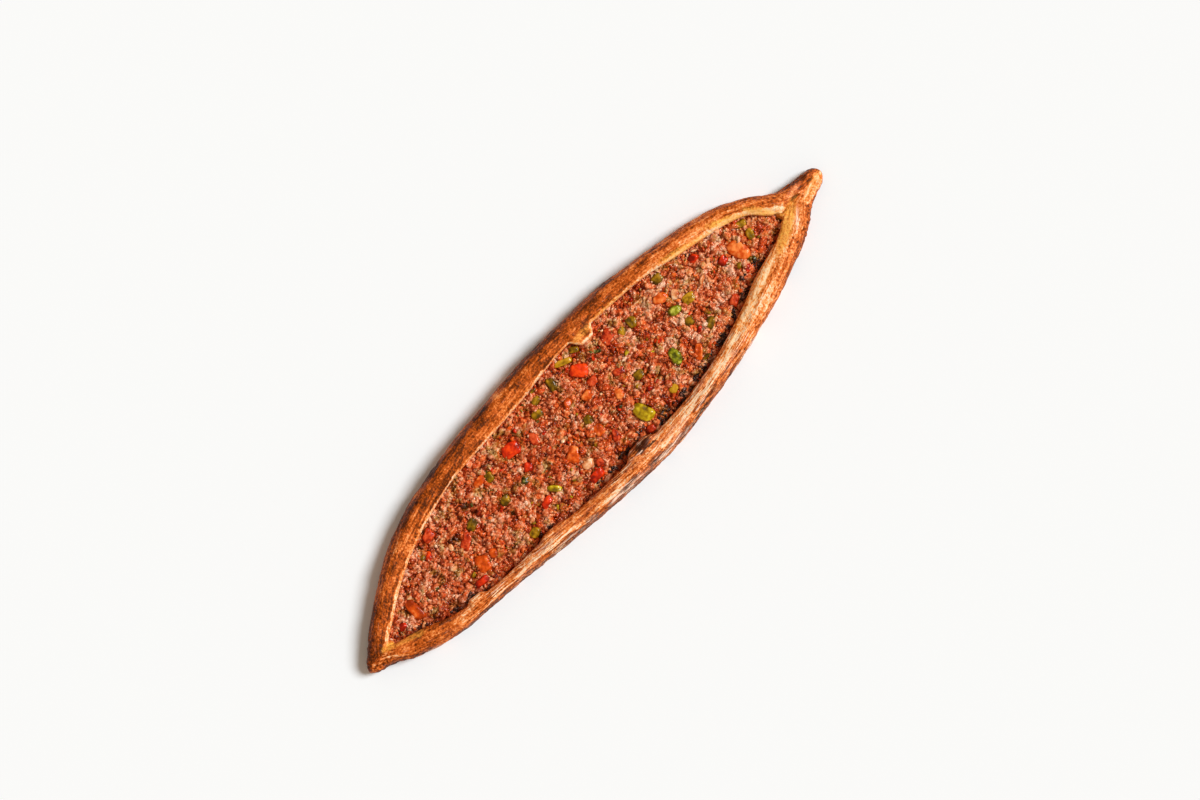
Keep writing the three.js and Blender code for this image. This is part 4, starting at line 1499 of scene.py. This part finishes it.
@dataclass
class Crumbs:
    """Loose crumbs of fried mince in four sizes, bedded in the mince's body.

    Their places are a staggered grid, shifted at random. Crumbs get darker the deeper they lie, as
    painted shade, and towards the front wall, partly dried by the rim's heat and partly as painted
    shade under its lip.
    """

    boat: Boat
    core: MinceCore
    toppings: Toppings
    kinds: tuple[CrumbKind, ...] = (
        CrumbKind("lumps", 5.6, (2.1, 3.6), (5, 9), 0.0, 51, (0.45, 0.68), 1.8, 0.5, 0.8),
        CrumbKind("coarse", 3.8, (1.35, 2.2), (4, 7), 0.25, 52, (0.42, 0.78), 1.9, 0.6, 0.9),
        CrumbKind("strands", 3.3, (0.85, 1.3), (4, 6), 0.6, 53, (0.42, 0.87), 2.8, 0.7, 0.9),
        CrumbKind("fine", 2.6, (0.55, 0.95), (3, 5), 0.9, 54, (0.36, 0.9), 1.7, 0.6, 0.8),
    )

    def places(self, kind: CrumbKind, rng: Random) -> tuple[Array, Array]:
        """Plan points for one size of crumb, inside the tray and off the diced pieces.

        Args:
            kind: the size of crumb.
            rng: the random numbers to draw from.

        Returns:
            The points' x and y, across the frame.
        """
        x, y = np.meshgrid(
            np.arange(-251.0, 229.0, kind.gap), np.arange(-58.0, 62.0, kind.gap * 0.866), indexing="ij"
        )
        x = x + (np.arange(x.shape[1]) % 2) * kind.gap / 2
        x, y = (a.ravel() + rng.uniform(-0.48, 0.48, a.size) * kind.gap for a in (x, y))
        front, back = self.boat.filling_walls(x)
        inside = (y > front + 0.6 * kind.radius[0]) & (y < back - 0.6 * kind.radius[0])
        clear = self.toppings.clear_of(x, y, 0.6 * kind.radius[0] - 0.5)
        kept = inside & clear & (rng.random(x.size) < kind.keep)
        return x[kept], y[kept]

    def heap(self, kind: CrumbKind) -> bpy.types.Object:
        """Makes one size of crumb as one mesh.

        Args:
            kind: the size of crumb.

        Returns:
            The crumbs' object.
        """
        rng = np.random.default_rng(kind.seed)
        x, y = self.places(kind, rng)
        count = len(x)
        size = rng.uniform(*kind.radius, count)
        shape = [rng.uniform(1, kind.long, count), np.ones(count), rng.uniform(kind.flat, 1, count)]
        bed = self.core.top(x, y)
        lifted = bed + kind.lift * size * rng.uniform(0.2, 1.5, count)
        z = np.maximum(lifted, self.toppings.cover(x, y) - 0.3 * size)
        middles = np.stack([x, y, z], axis=-1)
        sizes = np.stack(shape, axis=-1) * size[:, None]
        heap = nuggets(rng, middles, sizes, random_frames(rng, count, 0.8, 1.2), kind.faces, 0.2)
        depth = self.boat.filling_top(x, y) - z
        looks = self.core.looks(x, y)
        low, high = kind.tone
        tone = low + (high - low) * rng.beta(1.8, 1.8, count) + looks["tone"]
        # Painted shade: crumbs that lie deeper among the others are darker.
        tone -= 0.34 * smoothstep(0.7, 2.8, depth)
        paste = np.clip(looks["paste"] + rng.normal(0, 0.22, count), 0, 1)
        # Beside the front wall crumbs are darker and charred: partly burnt, partly painted shade under the
        # lip.
        char = smoothstep(0.35, 0.8, looks["char"] + rng.uniform(-0.3, 0.3, count))
        heap.dye({"tone": tone * (1 - 0.25 * looks["char"]), "paste": paste, "char": char})
        return heap.write(f"mince_{kind.name}", CookedMeat(), "mince")

    def build(self) -> list[bpy.types.Object]:
        """Makes every size of crumb."""
        return [self.heap(kind) for kind in self.kinds]


@dataclass(frozen=True)
class ScrapKind:
    """Small bits of one vegetable: a name, its finish and slot, bits in known places, and scattered ones.

    A known bit is x, y from the tips' line, length, width and heading, and it may be broken into several
    pieces. The scattered bits are a count and a range of half lengths.
    """

    name: str
    finish: Finish
    slot: str
    placed: tuple[tuple[float, float, float, float, float], ...]
    count: int
    half: tuple[float, float]
    seed: int
    thick: float = 1.0
    pieces: int = 1


@dataclass
class Scraps:
    """Bits of vegetable and herb too small for nodes of their own, and charred crumbs, over the mince.
    Some charred crumbs are painted shade along the front wall, and some onion bits are painted highlights.
    """

    boat: Boat
    toppings: Toppings
    faces: tuple[int, int] = (6, 10)  # rows and sides of a bit
    kinds: tuple[ScrapKind, ...] = (
        ScrapKind(
            "parsley", PARSLEY, "pepper_green",
            (
                (-75.5, 11, 8, 6, 20), (42, 41, 8, 3.4, -42), (46.5, 37, 5, 3, -55), (192, -9, 6, 3.5, 40),
                (-122, 30, 4, 2, 60), (24, -8, 3.5, 2, 10), (133, 22, 4, 2, -40), (-194, 4.5, 4.5, 3, 30),
            ),
            26, (0.8, 1.6), 71, 0.5,
        ),
        ScrapKind(
            "pepper", Veg.pepper_green.value, "pepper_green",
            ((61, 18.5, 7.5, 3, 12), (-74.6, -24.6, 5, 3, 30), (-48, -19.6, 5, 3, -20)), 8, (0.9, 1.7), 72,
        ),
        ScrapKind(
            "baked_pepper", Veg.pepper_olive.value, "pepper_olive",
            (
                (104, -34, 8, 4, -10), (179, -3, 6, 4, 30), (231, -3, 5, 3, 0), (-15.6, 56.5, 7, 3, 0),
                (46.5, -7, 5, 4, 0), (-182, 32, 6, 4, 30), (-164, -10, 5, 3, 20),
            ),
            38, (1.0, 2.2), 73,
        ),
        ScrapKind(
            "onion", Veg.onion.value, "onion",
            (
                # Some known bits are pale shreds where the wet filling shows white highlights, partly onion
                # and partly painted highlight: those at (-172, 6), (-160, 20), (-154.5, 12), (-47.5, -19),
                # (97, 41), (119, 34.5) and (125, 34); the one at (-224, -6.5) is a painted yellow highlight
                # at the lip's edge.
                (-97, -16, 6, 4, 20), (-160, 20, 6, 4, 60), (-172, 6, 7, 4, -30), (165, 20, 6, 4, 10),
                (149, 12, 9, 6, 15), (-30, 9, 5, 3, 0), (97, 41, 9, 1.6, -5), (119, 34.5, 8, 2, -5),
                (125, 34, 5, 2.4, 12), (61.4, 3.5, 8, 1.8, 0), (-224, -6.5, 9, 2.6, 20),
                (163, 34, 6, 2, -30), (-154.5, 12, 5, 3, 30), (-47.5, -19, 5, 3, 0),
            ),
            70, (0.9, 2.1), 74,
        ),
        ScrapKind(
            "tomato", Veg.tomato_red.value, "tomato_red",
            (
                (-237, 6, 8, 6, 30), (-178, 28, 8, 5, 50), (39, 36, 7, 3.6, 75), (157, 30, 8, 7, 20),
                (182.5, -10, 8, 7, 70),
                (86, 6, 7, 5, -30), (117, -14, 7, 4, 15), (-36, 25.5, 6, 4, 60), (52, -16, 6, 5, -20),
                (60, -17, 5, 4, 40),
            ),
            40, (0.9, 2.2), 75,
        ),
        ScrapKind(
            "charred_and_shaded", CookedMeat(), "mince",
            (
                # The known bits line the front wall: burnt crumbs, and dark bits of painted shade where the
                # front rim's lip shades the filling.
                (122, -33.5, 11, 6, 25), (94.5, -37, 8, 5, 20), (84.5, -39, 6, 4.5, 30),
                (68.5, -38.5, 7, 6, 70), (45, -39, 10, 5, 10), (37, -41, 6, 4, 30), (146.5, -26, 8, 4, 35),
                (164, -21.5, 11, 4, 30), (-3, -36.5, 15, 4, 8), (-20, -38, 9, 3.5, -10),
                (-222, -8.5, 7, 3, -25), (20, -33, 10, 3.5, 5), (174, -12, 5, 4, 0), (-198, -18, 9, 3, -20),
                (107, -35, 6, 3, 20), (57, -40, 5, 3, 0), (-35, -36.8, 8, 3, -10), (-90, -30.5, 8, 3, -12),
                (156, 37, 9, 3, -35), (191, -11, 7, 4, 10),
            ),
            20, (0.5, 1.05), 77, pieces=9,
        ),
        ScrapKind(
            "baked_tomato", Veg.tomato_orange.value, "tomato_orange", ((-4, 28, 9, 7, 20),),
            70, (1.0, 2.8), 76, 0.7,
        ),
    )

    def strew(self, kind: ScrapKind) -> bpy.types.Object:
        """Makes all the bits of one vegetable as one mesh.

        Args:
            kind: the vegetable.

        Returns:
            The bits' object.
        """
        rng = np.random.default_rng(kind.seed)
        at = rng.uniform((-246, -56), (226, 58), (kind.count * 6, 2))
        front, back = self.boat.filling_walls(at[:, 0])
        inside = (at[:, 1] > front + 5) & (at[:, 1] < back - 4)
        at = at[inside & self.toppings.clear_of(at[:, 0], at[:, 1], 1.0)][: kind.count]
        half = rng.uniform(*kind.half, len(at))
        narrow, turn = rng.uniform(0.5, 0.9, len(at)), rng.uniform(0, 180, len(at))
        loose = np.stack([*at.T, 2 * half, 2 * half * narrow, turn], axis=-1)
        known = np.repeat(np.array(kind.placed, float) + [0, TIP_LINE_Y, 0, 0, 0], kind.pieces, axis=0)
        if kind.pieces > 1:
            aside = rng.uniform(-0.5, 0.5, (len(known), 2)) * known[:, 2:4]
            known[:, :2] += np.stack(turned(*aside.T, -known[:, 4]), axis=-1)
            known[:, 2:4] = known[:, 3:4] * rng.uniform(0.3, 0.65, (len(known), 1)) * [1.5, 1]
            known[:, 4] = rng.uniform(0, 180, len(known))
        x, y, length, width, heading = np.concatenate([known, loose]).T
        thick = kind.thick * (0.5 + 0.14 * width)
        # Known bits lie on the mince, and the others are bedded in it.
        lift = np.where(np.arange(len(x)) < len(known), 0.4, -0.2)
        middles = np.stack([x, y, self.boat.filling_top(x, y) + lift + 0.3 * thick], axis=-1)
        up = rng.normal(0, 0.22, (len(x), 3)) + [0, 0, 1]
        along = np.stack([np.cos(np.radians(heading)), np.sin(np.radians(heading)), 0 * x], axis=-1)
        off = np.cross(up, along)
        frames = np.stack([np.cross(off, up), off, up], axis=-1)
        frames /= np.linalg.norm(frames, axis=1, keepdims=True)
        sizes = np.stack([length / 2, width / 2, thick], axis=-1)
        bits = nuggets(rng, middles, sizes, frames, self.faces, 0.12)
        # The mince's bits are dark: burnt, and painted shade along the front wall.
        burnt = float(kind.slot == "mince")
        tone = rng.uniform(-0.25, 0.35, len(x)) + 0.3 * burnt
        bits.dye({"tone": tone, "paste": 0 * tone, "char": 0 * tone + burnt})
        return bits.write(f"{kind.name}_bits", kind.finish, kind.slot)

    def build(self) -> list[bpy.types.Object]:
        """Makes the bits of every vegetable."""
        return [self.strew(kind) for kind in self.kinds]


# ------------------------------------------------------------------ the studio


@dataclass
class Studio:
    """A white floor, soft light from the blunt tip's front side, and a camera straight above."""

    roll: float = -48.24  # degrees, how far the camera is turned
    aim: tuple[float, float] = (16.34, 1.43)  # mm, the point that it looks down on
    lens: float = 85.0  # mm
    sensor: float = 36.0  # mm
    seen_width: float = 1012.3  # mm, what the picture's width covers at half the rim's height
    rim_height: float = 0.01  # m, where that width is taken
    light_heading: float = -26.0  # degrees from +X
    light_height: float = 45.0
    light_spread: float = 24.0  # degrees, how wide the lamp looks from the table
    light_strength: float = 3.3
    fill: float = 0.36
    fill_colour: str = "#ffe0c4"
    reach: float = 6.0  # m, from the middle to the floor's sides
    below: float = 0.0002  # m, from the bread down to the floor

    def build(self) -> None:
        """Sets up the floor, lights and camera."""
        mesh = bpy.data.meshes.new("floor")
        corners = [(x, y, -self.below) for x, y in ((-1, -1), (1, -1), (1, 1), (-1, 1))]
        corners = [(self.reach * x, self.reach * y, z) for x, y, z in corners]
        mesh.from_pydata(corners, [], [(0, 1, 2, 3)])
        mesh.materials.append(StudioPaper().material())
        floor = bpy.data.objects.new("floor", mesh)
        bpy.context.scene.collection.objects.link(floor)

        world = bpy.data.worlds.new("studio")
        world.use_nodes = True
        sky = world.node_tree.nodes["Background"]
        sky.inputs["Color"].default_value = linear(self.fill_colour)
        sky.inputs["Strength"].default_value = self.fill
        bpy.context.scene.world = world

        lamp = bpy.data.lights.new("softbox", "SUN")
        lamp.angle, lamp.energy = math.radians(self.light_spread), self.light_strength
        softbox = bpy.data.objects.new("softbox", lamp)
        softbox.location = (0, 0, 1)
        softbox.rotation_euler = (0, math.radians(90 - self.light_height), math.radians(self.light_heading))
        bpy.context.scene.collection.objects.link(softbox)

        lens = bpy.data.cameras.new("camera")
        lens.lens, lens.sensor_width = self.lens, self.sensor
        camera = bpy.data.objects.new("camera", lens)
        distance = self.seen_width * MM * self.lens / self.sensor
        camera.location = (self.aim[0] * MM, self.aim[1] * MM, self.rim_height + distance)
        camera.rotation_euler = (0, 0, math.radians(self.roll))
        bpy.context.scene.collection.objects.link(camera)
        bpy.context.scene.camera = camera
        bpy.context.scene.view_settings.view_transform = "Standard"


def main() -> None:
    """Builds the pide's pieces in order and sets up the studio."""
    logging.basicConfig(level=logging.INFO, format="%(name)s %(message)s")
    boat = Boat()
    toppings = Toppings()
    core = MinceCore(boat)
    Crust(boat).build()
    toppings.build()
    core.build()
    Crumbs(boat, core, toppings).build()
    Scraps(boat, toppings).build()
    Studio().build()


if __name__ == "__main__":
    main()
